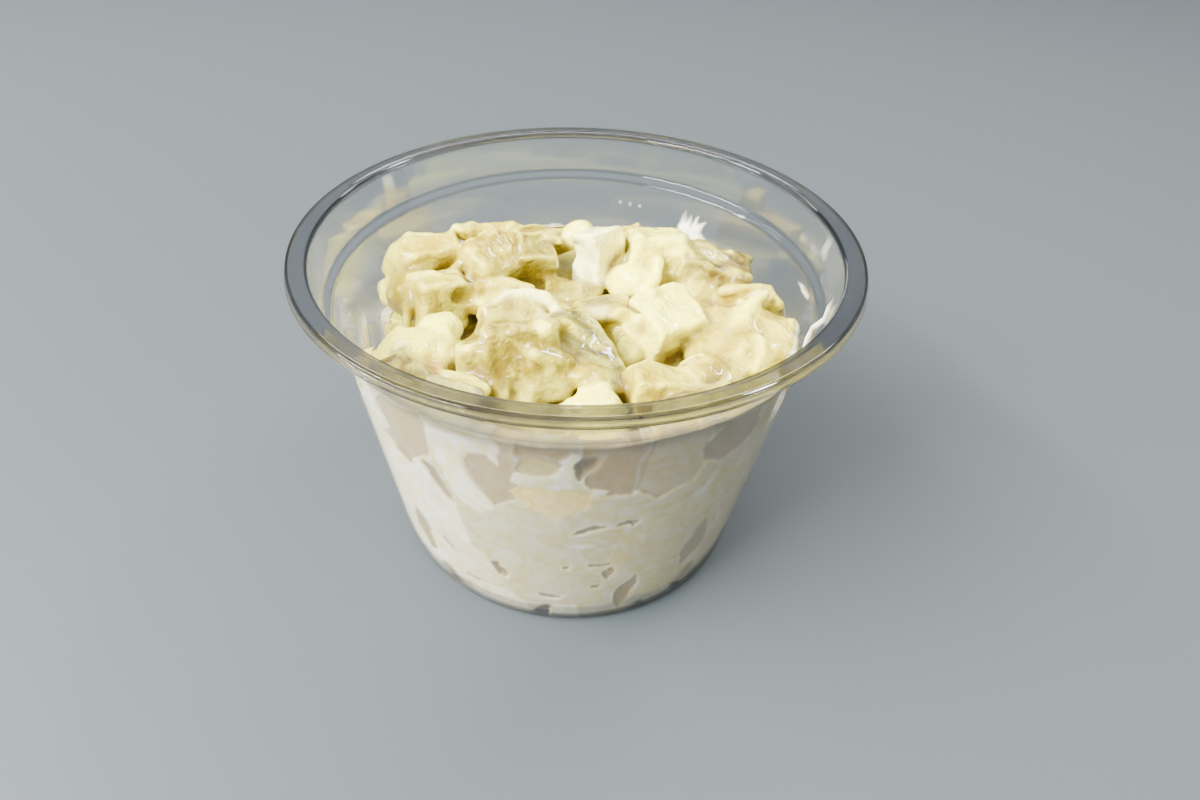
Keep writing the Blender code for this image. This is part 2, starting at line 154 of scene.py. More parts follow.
# Soft lumps: x, y, z, length, width, height, turn, then what it is.
LUMPS = (
    (-15.5, 1.8, 57, 24, 6.5, 7, 8, "cream"),  # shelf of dressing across the middle
    (-10.5, -9, 62.4, 15, 8, 8.5, 6, "wedge"),  # top of the wedge, under its rolled rim
    (-39.8, 16, 59.2, 15, 14, 14.5, 0, "dressing"),  # upper left lobe
    (-38.5, 5.5, 56.5, 14, 12, 12, 20, "cream"),  # lower left lobe
    (-25.8, 19.5, 66.5, 6, 5, 5, 0, "cream"),  # small knob
    (-29, 20.2, 66.6, 4, 3.6, 3.6, 0, "dressing"),
    (-22.5, 18.8, 66.6, 4.2, 3.6, 3.4, 0, "cream"),
    (-7.5, 27, 60.5, 17, 9, 7, 0, "onion"),  # wrinkled onion at the back
    (1.5, 27, 62.5, 8.5, 8.5, 8, 0, "dressing"),  # ball beside the egg
    (11.5, 25, 62, 6, 6, 6, 0, "cream"),
    (42, 2, 58, 17, 10, 12, -15, "potato"),  # curved slice on the right
    (37, -14, 57, 25, 22, 13, 0, "cream"),  # broad mound on the right
    (28, -25, 56.5, 16, 13, 11, 10, "cream"),
    (-32, -20, 57, 20, 16, 12, 0, "dressing"),  # white mound at the front left
    (-28.5, -13.5, 60, 10, 8, 7.5, 0, "dressing"),
    (-30.5, -29.5, 58.3, 13, 10, 7, 20, "orange"),
    (-21, -32.5, 58.5, 9, 8, 7, -10, "cream"),
    (3, -26.5, 59.5, 9, 6, 6.5, 0, "potato"),
    (5, -35, 57.8, 13, 11, 8.5, 0, "dressing"),
    (-7, -40, 58.5, 12, 10, 8, 0, "tan"),
    (13, -13.5, 54.5, 7, 9, 6, 0, "onion"),  # low in the dark hollow
    (15, 11.5, 57.6, 13, 11, 9, 0, "dressing"),  # dressing between the egg and the block
    (31, 8, 56.5, 11, 9, 8, 0, "cream"),
    (31, -7, 59.5, 9, 7, 7, 0, "cream"),
)

# Cut pieces: x, y, z, length, width, height, turn, tip about X, tip about Y, then what it is.
CUT_PIECES = (
    (-35.3, 14.6, 63.2, 14.5, 7.5, 7, 18, 12, -6, "potato"),  # plank at the back left
    (-21, 12.5, 60.5, 13, 12, 12.5, 35, 18, 14, "cream"),  # large coated chunk
    (-31.5, 2, 57.8, 12, 12, 13, 28, -12, 10, "cream"),
    (-10, 17, 58.8, 11, 10, 12.5, 12, 6, 16, "onion"),  # folded onion
    (6.5, 18, 60.5, 9.5, 10, 16.5, 42, -10, 4, "egg"),  # upright egg white
    (20.6, 18.5, 60, 14.5, 13, 16.5, 6, -10, 4, "dressing"),  # big block at the back
    (34.5, 15.5, 58, 17, 14, 12, -14, 0, 14, "tan"),  # rough tan potato
    (6.5, -1.5, 55.5, 11, 9, 9, 20, 8, 8, "onion"),
    (21, -8.5, 59.3, 14, 12.5, 13, 34, 16, -6, "wet"),  # wet cube
    (42, -13, 57, 13, 12, 11, -20, 0, 0, "cream"),
    (-10.5, -17.5, 58.3, 16, 20, 14, 3, -25, 0, "wedge"),  # large wedge in the middle
    (-17, -20, 56.6, 9, 19, 12, -14, -26, -16, "wedge"),
    (-5.5, -21, 56.8, 9.5, 19, 11, 12, -25, 10, "wedge"),
    (3.8, -19.5, 60.2, 10.5, 25, 6, 26, 13, 6, "band"),  # band down the right of the wedge
    (18.5, -29.5, 57.6, 13, 10, 9.5, 12, -14, 10, "potato"),
    (25, -35, 57, 11, 9, 9, -20, 0, 0, "potato"),
    (0, 7, 53.5, 14, 12, 9, -15, 0, 0, "onion"),
    (13, 33, 53.5, 13, 12, 11, 10, 0, 0, "potato"),
    (-18, 33, 53.5, 14, 12, 11, -20, 8, 0, "potato"),
)

# Folds, rims and drips, as points of x, y, z, radius, after what each is.
RIDGES = (
    ("dressing", (
        (-36, 23, 62.5, 1.6), (-41.5, 21, 63.6, 1.8), (-44.6, 16.8, 63, 2), (-45.3, 13.4, 59.5, 2),
    )),
    ("dressing", ((-46.6, 10.5, 56, 1.6), (-45.6, 8, 54, 2), (-42, 5.3, 53.5, 2.2))),
    ("cream", ((-28.5, 8.6, 61.6, 1), (-25.3, 11.8, 64.6, 1.1), (-22, 16.4, 65.8, 1))),
    ("cream", (
        (-26.5, 3.8, 60, 1.5), (-20.7, 3.2, 60.6, 1.6), (-16.1, 4.4, 61.6, 1.6), (-10, 2.7, 61, 1.5),
    )),
    ("dressing", ((-37.4, 3.4, 62.2, 1.4), (-33.3, 4.6, 63, 1.6), (-29.3, 2.6, 62.2, 1.4))),
    ("potato", ((-39.2, 2, 59, 1), (-38.5, -5, 53, 1.4))),
    ("potato", ((-34.6, -2.4, 57.6, 0.9), (-35.5, -6.4, 54, 1.2))),
    ("egg", (
        (-16.6, -9.4, 64.6, 0.9), (-13.6, -8.2, 66.2, 1.1), (-9.7, -7.6, 66.8, 1.2),
        (-5.6, -8.6, 66.4, 1.2),
    )),
    ("egg", ((-5.6, -8.6, 66.4, 1.2), (-3, -10.6, 64.8, 1.1), (-2.2, -13.4, 63.4, 0.8))),
    ("wedge", ((-18.6, -10.2, 64.2, 1.2), (-17, -12.4, 63.8, 1.3))),
    ("wedge", (
        (-17.6, -11.2, 64, 1.2), (-19.4, -16.3, 61.6, 1.2), (-21.4, -22.6, 59.2, 1.2),
        (-22, -27.5, 57.8, 1.2),
    )),
    ("cream", (
        (-17, -17.6, 61.6, 0.6), (-15.6, -22.9, 60.4, 1.3), (-14.6, -28.6, 58.4, 1.2),
        (-14.2, -32.1, 57, 0.9),
    )),
    ("cream", ((-19, -19.2, 60.8, 0.5), (-18.9, -25.3, 59, 0.8), (-18.2, -29.9, 57.6, 0.8))),
    ("wedge", (
        (-14.6, -11.1, 65, 0.8), (-13.9, -18.3, 62.6, 0.9), (-12.9, -25.8, 59.6, 0.9),
        (-12.6, -31, 57.6, 0.9),
    )),
    ("wedge", ((-16, -12, 64.2, 0.6), (-16.2, -17, 62.2, 0.6), (-16.6, -22, 60.4, 0.6))),
    ("wedge", ((-10.6, -11.6, 65, 0.5), (-9.4, -18, 62.6, 0.6), (-8.8, -25, 59.8, 0.6))),
    ("wedge", ((-6.4, -11, 65, 0.7), (-4, -17, 62.6, 0.8), (-2.2, -23, 60.2, 0.8))),
    ("dressing", ((-29, -12, 62, 1.2), (-25.5, -17.8, 61, 1.3), (-23.7, -22, 59, 1.3))),
    ("dressing", ((-36.2, -19.8, 60, 1.4), (-33.1, -16.6, 61, 1.5), (-29.5, -17.9, 61, 1.4))),
    ("dressing", ((-24.6, -29.2, 60.2, 1.3), (-20, -31, 60.6, 1.1), (-16.2, -32, 59.6, 0.9))),
    ("dressing", ((21.2, 11.4, 64, 1.1), (20.4, 8.6, 61, 1.2), (17.2, 4, 58.4, 1.3))),
    ("tan", ((27.3, 19.2, 64.4, 0.9), (33.7, 19.4, 64.4, 1), (38.7, 14.4, 62.6, 1), (43, 14.2, 60.4, 1))),
    ("cream", (
        (35, 1.8, 62.2, 1.2), (40.2, 1.7, 63.6, 1.2), (45.6, 1.8, 63.2, 1.2), (48, -1.7, 61.2, 1.2),
    )),
    ("dressing", ((43.3, -2.6, 64.4, 1.3), (40, -5.7, 63.4, 1.5), (36.7, -11, 62.4, 1.6))),
    ("dressing", (
        (38.3, -2.4, 62, 1.2), (36.6, -9.8, 62.2, 1.4), (33.5, -14.5, 61, 1.5), (30.5, -17.8, 60, 1.4),
    )),
    ("cream", ((41.6, -10.8, 62.4, 1), (45, -13, 62.2, 1), (47, -16.3, 60.2, 1))),
    ("dressing", ((39.7, -16.2, 62.6, 1), (39.4, -20.9, 61.2, 1.1), (37.7, -23.9, 60, 1))),
    ("potato", (
        (12, -26.6, 60.6, 0.9), (15.4, -24.8, 61.8, 0.9), (20, -27.6, 61.2, 0.9), (25.5, -30.2, 60, 0.9),
    )),
    ("dressing", ((2.1, -32.6, 60.8, 1), (6.5, -32.2, 61, 1), (9, -34.6, 60, 1))),
    ("onion", ((-15, 26, 63.4, 0.9), (-10, 27.5, 64.2, 0.9), (-5, 26, 63.8, 0.9), (-1, 27, 63, 0.9))),
    ("onion", ((-13, 24, 63.2, 0.7), (-8, 24.5, 63.9, 0.7), (-3.5, 23, 63.2, 0.7))),
)

# Hollows pressed into the finished heap: x, y, z, length, width, height.
DENTS = (
    (0.5, -32, 58.5, 4, 5, 7),
    (22.6, -22.5, 60, 9, 4.5, 6),
    (13.5, -10, 60.5, 8, 13, 8),
    (0, 13, 62, 6, 14, 9),
    (-25, -1, 61, 7, 4, 6),
    (-20.5, -3.6, 61, 10, 4, 8),
    (42, -15.5, 65, 5, 4, 5),
    (39.5, -10, 65.5, 3.5, 6, 4.5),
)
FILLER_PITCH = 13.0
FILLER_REACH = 39.0
FILLER_HEIGHTS = (50.5, 53.0)
FILLER_SIZES = (12.0, 15.0)
FILLER_SHIFT = 2.0
FILLER_CLEARANCE = 8.0

# What each kind of piece is like: colour, corner rounding, depth of its streaks, depth of its creases.
KINDS = {
    "dressing": (DRESSING, 2.4, 0.0, 0.3),
    "cream": (CREAM, 2.0, 0.04, 0.4),
    "potato": (POTATO, 0.9, 0.06, 0.32),
    "egg": (EGG_WHITE, 0.7, 0.0, 0.1),
    "wet": (DRESSING, 0.9, 0.1, 0.16),
    "tan": (TAN, 1.0, 0.08, 0.6),
    "orange": (ORANGE, 1.4, 0.08, 0.3),
    "onion": (ONION, 1.2, 0.08, 0.2),
    "wedge": (ONION, 2.0, 0.1, 0.2),
    "band": (WET_ONION, 2.0, 0.12, 0.16),
    # the core shows between the pieces in the painted crevice shade
    "core": (CREVICE_SHADE, 0.0, 0.0, 0.0),
}
STREAK_WIDTH = 1.0
STREAK_STRETCH = 6.0  # streaks run this many times longer than they are wide
BLOCK_CUTS = 3  # slanting knife cuts across each cut piece
CUT_REACHES = (0.78, 0.92)  # how far out the cuts are, as a share of the way to the corner

# Small crumbs drawn over the top.
CRUMBS = 90
CRUMB_KINDS = ("dressing", "dressing", "cream", "egg", "potato")
CRUMB_SIZES = (1.2, 3.2)
CRUMB_SHARES = (1.3, 1.0, 0.7)  # of its size, in length, width and height
CRUMB_SUNK = 0.1  # of its height
CRUMB_REACH = 47.0

# Shapes on the wall at the front, in the order they are laid: colour, depth, and the outline's corners as
# (azimuth, height). A deep shape gets a thin dark line of painted shade at its edge and a pale one outside
# that.
FRONT_SHAPES = (
    # painted light: the left of the wall, where the light falls, laid whiter
    (FILM_WHITE_AND_LIGHT, 0, (
        (-152, 6), (-152, 52), (-140, 60), (-128, 52), (-117, 42), (-114, 24), (-118, 8), (-130, 4),
    )),
    (FILM_PINK, 0, ((-128, 27), (-119, 26), (-110, 24), (-106, 14), (-112, 9), (-124, 9), (-130, 18))),
    # painted shade: the right of the wall, away from the light, laid dimmer
    (FILM_DIM_AND_SHADE, 0, ((-74, 44), (-60, 42), (-44, 50), (-36, 60), (-36, 4), (-60, 4), (-72, 10), (-80, 24))),
    (PRESSED_TAN, 0.3, (
        (-133, 63), (-121, 65), (-119, 60), (-121, 54), (-125, 50), (-130, 47), (-137, 50), (-138, 57),
    )),
    (PRESSED_BROWN, 0.3, ((-133, 50), (-129, 50), (-128, 46.5), (-131, 46), (-134, 48))),
    (FILM_WHITE_AND_LIGHT, 0, ((-145, 62), (-138, 64), (-134, 53.5), (-136, 51.5), (-143, 55))),
    (PRESSED_TAN, 0.2, (
        (-104, 66), (-98, 66), (-98, 56), (-101, 48), (-106.5, 44), (-109.5, 50), (-112, 57), (-108, 61),
    )),
    (LAVENDER, 0, (
        (-120, 62.5), (-106, 66), (-103.5, 63), (-104, 57.5), (-106, 60), (-111, 60), (-116, 54),
        (-119, 57),
    )),
    (FILM_WHITE_AND_LIGHT, 0, (
        (-118, 58), (-113, 59), (-111, 51), (-106, 43), (-110, 40), (-115, 43), (-117.5, 49), (-119.5, 54),
    )),
    (PRESSED_BROWN, 0.5, ((-100, 65), (-84, 65), (-85, 60), (-92, 60), (-100, 61))),
    (GLOW, 0.4, ((-99.5, 61), (-96, 62), (-91.5, 61), (-91, 58.5), (-94, 56), (-98, 55.5), (-100, 58))),
    (PRESSED_BROWN, 0.4, ((-86, 65), (-74, 65.5), (-73.5, 54), (-76, 50.5), (-83, 51.5), (-86, 55))),
    (PRESSED_TAN, 0.3, ((-74, 66), (-62, 66), (-60, 54), (-62, 49), (-70, 48), (-75, 52))),
    (PRESSED_OLIVE, 0.5, ((-61, 60), (-57, 63), (-47, 63), (-45, 58), (-48, 53.5), (-55, 52.5), (-60, 55))),
    (PRESSED_YELLOW, 0.1, (
        (-102, 51), (-97, 53), (-88, 52.5), (-84.5, 52), (-85, 48), (-91, 44), (-92, 40.5), (-94, 45),
        (-99, 46.5),
    )),
    (GLOW, 0.1, ((-99, 51.5), (-96, 52.3), (-95.5, 50.6), (-98, 50))),
    # painted highlight on a small bit
    (FILM_WHITE_AND_LIGHT, 0, ((-84.5, 53.5), (-81, 52.5), (-82, 51.3), (-85, 51.6))),
    (LAVENDER, 0, (
        (-88.8, 64), (-86.3, 63.6), (-87.6, 60.6), (-88, 57), (-89, 53), (-95, 52.5), (-101.5, 53.5),
        (-100.5, 56.6), (-92.5, 57), (-90.6, 59.3), (-91.4, 61.6),
    )),
    # painted shade in a deep pocket
    (POCKET_SHADE, 1.6, (
        (-88.2, 61), (-86, 62.2), (-83.6, 62.4), (-84.2, 60), (-86.4, 58), (-87, 56), (-87.8, 58),
    )),
    (PRESSED_OLIVE, 0.5, (
        (-123.5, 50), (-120.5, 49.5), (-118.5, 45), (-117, 41), (-120, 42.5), (-122.3, 46),
    )),
    (FILM_PINK, 0, ((-126, 29), (-123, 29.5), (-122, 26), (-125, 25.5))),
    (LAVENDER, 0, ((-127, 43), (-122, 41), (-120, 36), (-124, 35), (-128, 38))),
    (PRESSED_OLIVE, 1, ((-108.8, 21), (-107, 22), (-105, 19.5), (-105.2, 17), (-107, 17.6))),
    (PRESSED_OLIVE, 0.3, ((-79.8, 22), (-77.4, 23.8), (-76.6, 21.6), (-79, 18.6))),
    (PRESSED_OLIVE, 0.4, ((-75.5, 8), (-74.5, 14), (-71, 17.5), (-70.3, 13), (-71.5, 8), (-74, 4.5))),
    (PRESSED_OLIVE, 0.5, ((-57, 20), (-53, 28), (-48, 33), (-46.5, 26), (-50, 17), (-56, 13))),
    (FILM_DIM_AND_SHADE, 0, ((-50, 31), (-47.6, 33), (-46.4, 24), (-48.6, 20))),
    (PRESSED_OLIVE, 0.5, ((-135, 26), (-131, 23), (-130, 13), (-134, 10), (-138, 17))),
    (FILM_WHITE_AND_LIGHT, 0, ((-118, 9), (-112, 11), (-106, 10.5), (-100, 7), (-98.5, 0), (-119, 0))),
    (FILM_DIM_AND_SHADE, 0, ((-107.5, 11.2), (-103.5, 11), (-104, 9.4), (-107, 9.6))),
    (FILM_WHITE_AND_LIGHT, 0, ((-93, 7.4), (-86, 7.6), (-84, 0), (-94, 0))),
    (SLIT_SHADE, 0.9, ((-96.6, 12.2), (-93, 12.3), (-90.8, 11.2), (-93, 10.6), (-96, 11.2))),
    (SLIT_SHADE, 0.8, ((-87.8, 37.2), (-84, 38.6), (-80.8, 39.6), (-83, 39.9), (-87, 38.6))),
    (SLIT_SHADE, 0.6, ((-78.4, 39.6), (-76.4, 41.2), (-73.8, 41), (-74.2, 39), (-76, 40))),
    (LAVENDER, 0, ((-88, 33), (-83.5, 34.2), (-82.6, 32.4), (-85.5, 31.6))),
    (SLIT_SHADE, 0.5, ((-83.4, 25), (-78.6, 25.6), (-78.4, 25), (-83, 24.4))),
    (SLIT_SHADE, 0.7, ((-89.6, 24.4), (-88.4, 24.6), (-88.6, 23.6), (-89.6, 23.8))),
    (SLIT_SHADE, 0.8, ((-82.4, 16.2), (-80.8, 16.4), (-81, 15.4), (-82, 15.4))),
    (SLIT_SHADE, 0.4, ((-124.5, 22), (-120, 19.6), (-120.4, 18.6), (-124.6, 20.6))),
    (LAVENDER, 0, ((-120, 22), (-114, 17.4), (-111, 15.6), (-112, 14.8), (-116, 16.4), (-121, 20.6))),
    (SLIT_SHADE, 0.5, ((-119, 11.2), (-115, 10.2), (-115.4, 9.6), (-119, 10.2))),
    (LAVENDER, 0, (
        (-60.6, 43.6), (-57.6, 45.6), (-56, 49), (-54.6, 49.6), (-53.6, 48), (-56.2, 44), (-58.6, 42.4),
    )),
)
# Narrow clear gaps between pieces that stand on the cup's floor, with a painted shade in them: azimuth,
# height, width, tall, roll.
FRONT_GAPS = (
    (-96.2, 1.5, 3.4, 9, -20),
    (-67, 1, 3, 5, 10),
    (-126, 5, 4, 7, 20),
    (-52, 6, 4, 9, -20),
)
# Thin smears and beads of dressing on the inside of the wall above the heap: outlines like those above.
SMEARS = (
    ((184.6, 46.6), (183.6, 48.5), (178.4, 51.5), (175.4, 53.5), (176.6, 50), (179.6, 44.6), (182, 43)),
    ((185.6, 60.4), (186, 62), (184.6, 62.2), (184.2, 60.8)),
    ((186, 56.2), (186.2, 58), (184.8, 58), (184.7, 56.4)),
    ((4, 64.1), (1, 65.1), (-5, 65.4), (-5, 64.5), (0, 63.7)),
    ((-17, 73), (-15.8, 70.6), (-18.4, 66), (-17.8, 62.6), (-21.6, 60.6), (-24, 61.6), (-20.4, 67)),
    (
        (57, 54.5), (54.8, 58.5), (53.8, 62.6), (52.6, 60), (51.4, 61.6), (50.6, 59.4), (48.8, 62.4),
        (48.4, 59.4), (46, 61.2), (47, 57.6), (44.5, 56.4), (49, 54),
    ),
    ((75.6, 60.4), (75.2, 60.9), (74.7, 60.8), (74.8, 60.3)),
    ((72.2, 60.3), (72.1, 60.8), (71.6, 60.8), (71.6, 60.3)),
    ((68.9, 60.1), (68.8, 60.6), (68.4, 60.6), (68.3, 60.1)),
)
SMEAR_STEP = 0.2
SMEAR_THICKNESS = 0.8
SMEAR_SLOPE = 1.2  # how fast a smear thickens from its edge
SMEAR_WAVE_WIDTH, SMEAR_WAVE_DEPTH = 1.5, 0.35
SMEAR_MARGIN = 1.0
SMEAR_EDGE = (0.1, -1.1)  # from where its alpha starts, outside its outline, to where it is full, inside
SMEAR_ALPHAS = (0.12, 0.75)  # at the edge, and what is added inside

# Patches drawn for the part of the wall that the front doesn't show, and their kinds: colour, depth, size.
HIDDEN_PATCHES = 90
HIDDEN_AZIMUTHS, HIDDEN_HEIGHTS = (-38.0, 212.0), (3.0, 62.0)
HIDDEN_WIDTHS, HIDDEN_TALLS = (5.0, 13.0), (3.0, 9.0)
HIDDEN_CORNERS = 7
HIDDEN_REACHES = (0.55, 1.25)
HIDDEN_KINDS = (
    (LAVENDER, 0.0, 1.0),
    (FILM_WHITE_AND_LIGHT, 0.0, 0.9),
    (PRESSED_TAN, 0.5, 1.0),
    (PRESSED_YELLOW, 0.2, 0.9),
    (FILM_DIM_AND_SHADE, 0.0, 1.2),
    (PRESSED_BROWN, 0.6, 0.8),
    (PRESSED_OLIVE, 0.8, 0.4),
    (SLIT_SHADE, 0.7, 0.25),
)
FRONT_COLUMNS, BACK_COLUMNS = 430, 250
WALL_ROWS = 230
FLOOR_SIDES, FLOOR_RINGS = 180, 40
WALL_EDGES = (-158.0, -28.0)  # where the finer front of the skin on the wall starts and ends
WALL_TOP = 67.0
FRONT_FILL = 65.6  # the height that the salad reaches on the wall at the front
LEFT_DROP, LEFT_AZIMUTHS = 14.0, (-132.0, -152.0)  # how much lower it is on the left, and from where
WALL_DEEPEST = 3.0
DEPTH_STEPS = 7  # places looked at on the way in to that depth
OPEN_SHARE = 0.8  # the skin ends where the salad is further in than this share of it
MID_RADIUS = 49.0  # azimuths are turned into millimetres along the wall at this radius
# How the outlines on the wall waver: the width of the waves, then their depth.
WALL_WAVES = ((6.0, 0.7), (2.2, 0.4), (0.9, 0.25))
WAVE_SEEDS = (31, 34)  # along the wall, and up
SHAPE_EDGE = 0.45  # outlines fade over this much to each side
# Lines round a deep shape, the dark one a painted shade: colour, how far outside its outline, width.
LINED_DEPTH, LINE_SHARE = 0.2, 0.45
LINES = ((FILM_WHITE_AND_LIGHT, 0.7, 0.35), (SLIT_SHADE, 0.0, 0.3))
GAP_EDGE = (0.5, -0.7)
GAP_ROUNDNESS = 2.6  # 2 is an ellipse, and more is squarer

# Noise in the salad's material: scale for sizes in metres, detail, distortion.
STAIN_NOISE = (250.0, 2.0, 1.5)
COVER_NOISE = (110.0, 3.0, 0.8)
GRAIN_NOISE = (420.0, 4.0, 0.4)
STAIN = (0.93, 0.86, 0.5)
BLACK, WHITE = (0.0, 0.0, 0.0), (1.0, 1.0, 1.0)

# The plain floor that the cup stands on, in metres.
FLOOR_COLOUR = (0.046, 0.055, 0.059, 1.0)
FLOOR_SIZE, FLOOR_PLACE = 4.0, (0.0, 0.0, -0.0002)

# Lights, in metres: name, place, width and length, watts, colour, and whether it shows in reflections.
LIGHT_AIM = (0.0, 0.0, 0.06)
LIGHTS = (
    ("key", (-1.3, -0.6, 1.25), (1.2, 1.2), 210.0, (1.0, 0.99, 0.96), False),
    ("glint", (-1.3, -0.4, 1.4), (1.8, 0.16), 150.0, WHITE, True),
    ("small_glint", (0.7, 0.5, 1.2), (0.4, 0.1), 14.0, WHITE, True),
    ("far_glint", (0.1, 1.3, 1.3), (1.8, 0.12), 8.0, WHITE, True),
    ("back", (-0.2, 0.9, 0.7), (0.6, 0.6), 6.0, (0.95, 0.98, 1.0), False),
    ("above", (0.05, -0.3, 1.6), (2.0, 2.0), 80.0, (0.98, 0.99, 1.0), False),
)
SKY_COLOUR, SKY_STRENGTH = (0.95, 0.97, 1.0, 1.0), 0.18

# The camera, as fitted to the cup's rim, ledge and foot in the photograph, in metres and radians.
CAMERA_PLACE = (0.0, -0.1356, 0.151)
CAMERA_YAW, CAMERA_PITCH = -0.045, 0.649
LENS, SENSOR_WIDTH = 21.0, 36.0  # in millimetres
PHOTO_WIDTH = 1200.0  # in pixels
PHOTO_SHIFT = (55.0, -60.0)  # in pixels


def linear(colour):
    """An sRGB colour out of 255 as linear light."""
    part = np.asarray(colour, float) / 255.0
    return np.where(part <= 0.04045, part / 12.92, ((part + 0.055) / 1.055) ** 2.4)


def smooth_step(low, high, value):
    """0 below low, 1 above high and a soft ramp between."""
    share = np.clip((value - low) / (high - low), 0.0, 1.0)
    return share * share * (3.0 - 2.0 * share)


def blended(base, over, share):
    """One colour or depth laid over another by a share from 0 to 1."""
    return base * (1.0 - share) + over * share


def inner_radius(height):
    """The radius of the cup's inner wall at a height."""
    heights = (FLOOR, FLOOR + FOOT_ROUNDING, CREASE_HEIGHT, LEDGE_HEIGHT, BAND_HEIGHT, MOUTH_HEIGHT)
    foot = FOOT_RADIUS - WALL
    radii = (foot - FOOT_ROUNDING, foot, CREASE_RADIUS, LEDGE_RADIUS, BAND_RADIUS, MOUTH_RADIUS)
    return np.interp(height, heights, radii)


LATTICE_SIZE = 48
LATTICES = {}


def soft_noise(points, scale, seed):
    """Smooth noise between -1 and 1 whose bumps are about the given number of millimetres wide."""
    if seed not in LATTICES:
        values = np.random.default_rng(seed).uniform(-1.0, 1.0, (LATTICE_SIZE,) * 3)
        LATTICES[seed] = values.astype(np.float32)
    lattice = LATTICES[seed]
    place = np.asarray(points, np.float32) / scale + 7.3 * seed
    cell = np.floor(place).astype(np.int32)
    part = place - cell
    part = part * part * (3.0 - 2.0 * part)
    total = np.zeros(len(place), np.float32)
    for corner in np.ndindex(2, 2, 2):
        spot = (cell + corner) % LATTICE_SIZE
        share = np.prod(np.where(corner, part, 1.0 - part), axis=1)
        total += share * lattice[spot[:, 0], spot[:, 1], spot[:, 2]]
    return total


def core_top(x, y):
    """The height of the heap's core over points of its plan."""
    top = CORE_TOP - CORE_DROP * (np.hypot(x, y) / CORE_REACH) ** 2
    for hollow_x, hollow_y, radius, depth in HOLLOWS:
        top -= depth * np.exp(-((x - hollow_x) ** 2 + (y - hollow_y) ** 2) / radius**2)
    return top


def turning(turn, tip_x, tip_y):
    """The rotation matrix of a piece turned about Z after it is tipped about X and Y."""
    a, b, c = (math.radians(angle) for angle in (turn, tip_x, tip_y))
    about_z = np.array([[math.cos(a), -math.sin(a), 0], [math.sin(a), math.cos(a), 0], [0, 0, 1]])
    about_x = np.array([[1, 0, 0], [0, math.cos(b), -math.sin(b)], [0, math.sin(b), math.cos(b)]])
    about_y = np.array([[math.cos(c), 0, math.sin(c)], [0, 1, 0], [-math.sin(c), 0, math.cos(c)]])
    return about_z @ about_x @ about_y


def lump_distance(local, size):
    """Roughly how far points are from an ellipsoid's skin, less than 0 inside."""
    half = np.asarray(size) / 2
    scaled = np.linalg.norm(local / half, axis=1)
    steep = np.linalg.norm(local / half**2, axis=1) + 1e-6
    return scaled * (scaled - 1.0) / steep


def block_distance(local, size, rounding):
    """How far points are from a rounded block's skin, less than 0 inside."""
    beyond = np.abs(local) - (np.asarray(size) / 2 - rounding)
    outside = np.linalg.norm(np.maximum(beyond, 0.0), axis=1)
    return outside + np.minimum(beyond.max(axis=1), 0.0) - rounding


def ridge_distance(points, course):
    """How far points are from a strand through (x, y, z, radius) points, less than 0 inside."""
    nearest = np.full(len(points), np.inf)
    for start, end in zip(course, course[1:]):
        a, b = np.array(start[:3]), np.array(end[:3])
        along = np.clip((points - a) @ (b - a) / ((b - a) @ (b - a)), 0.0, 1.0)
        radius = start[3] + (end[3] - start[3]) * along
        away = np.linalg.norm(points - a - along[:, None] * (b - a), axis=1) - radius
        nearest = np.minimum(nearest, away)
    return nearest


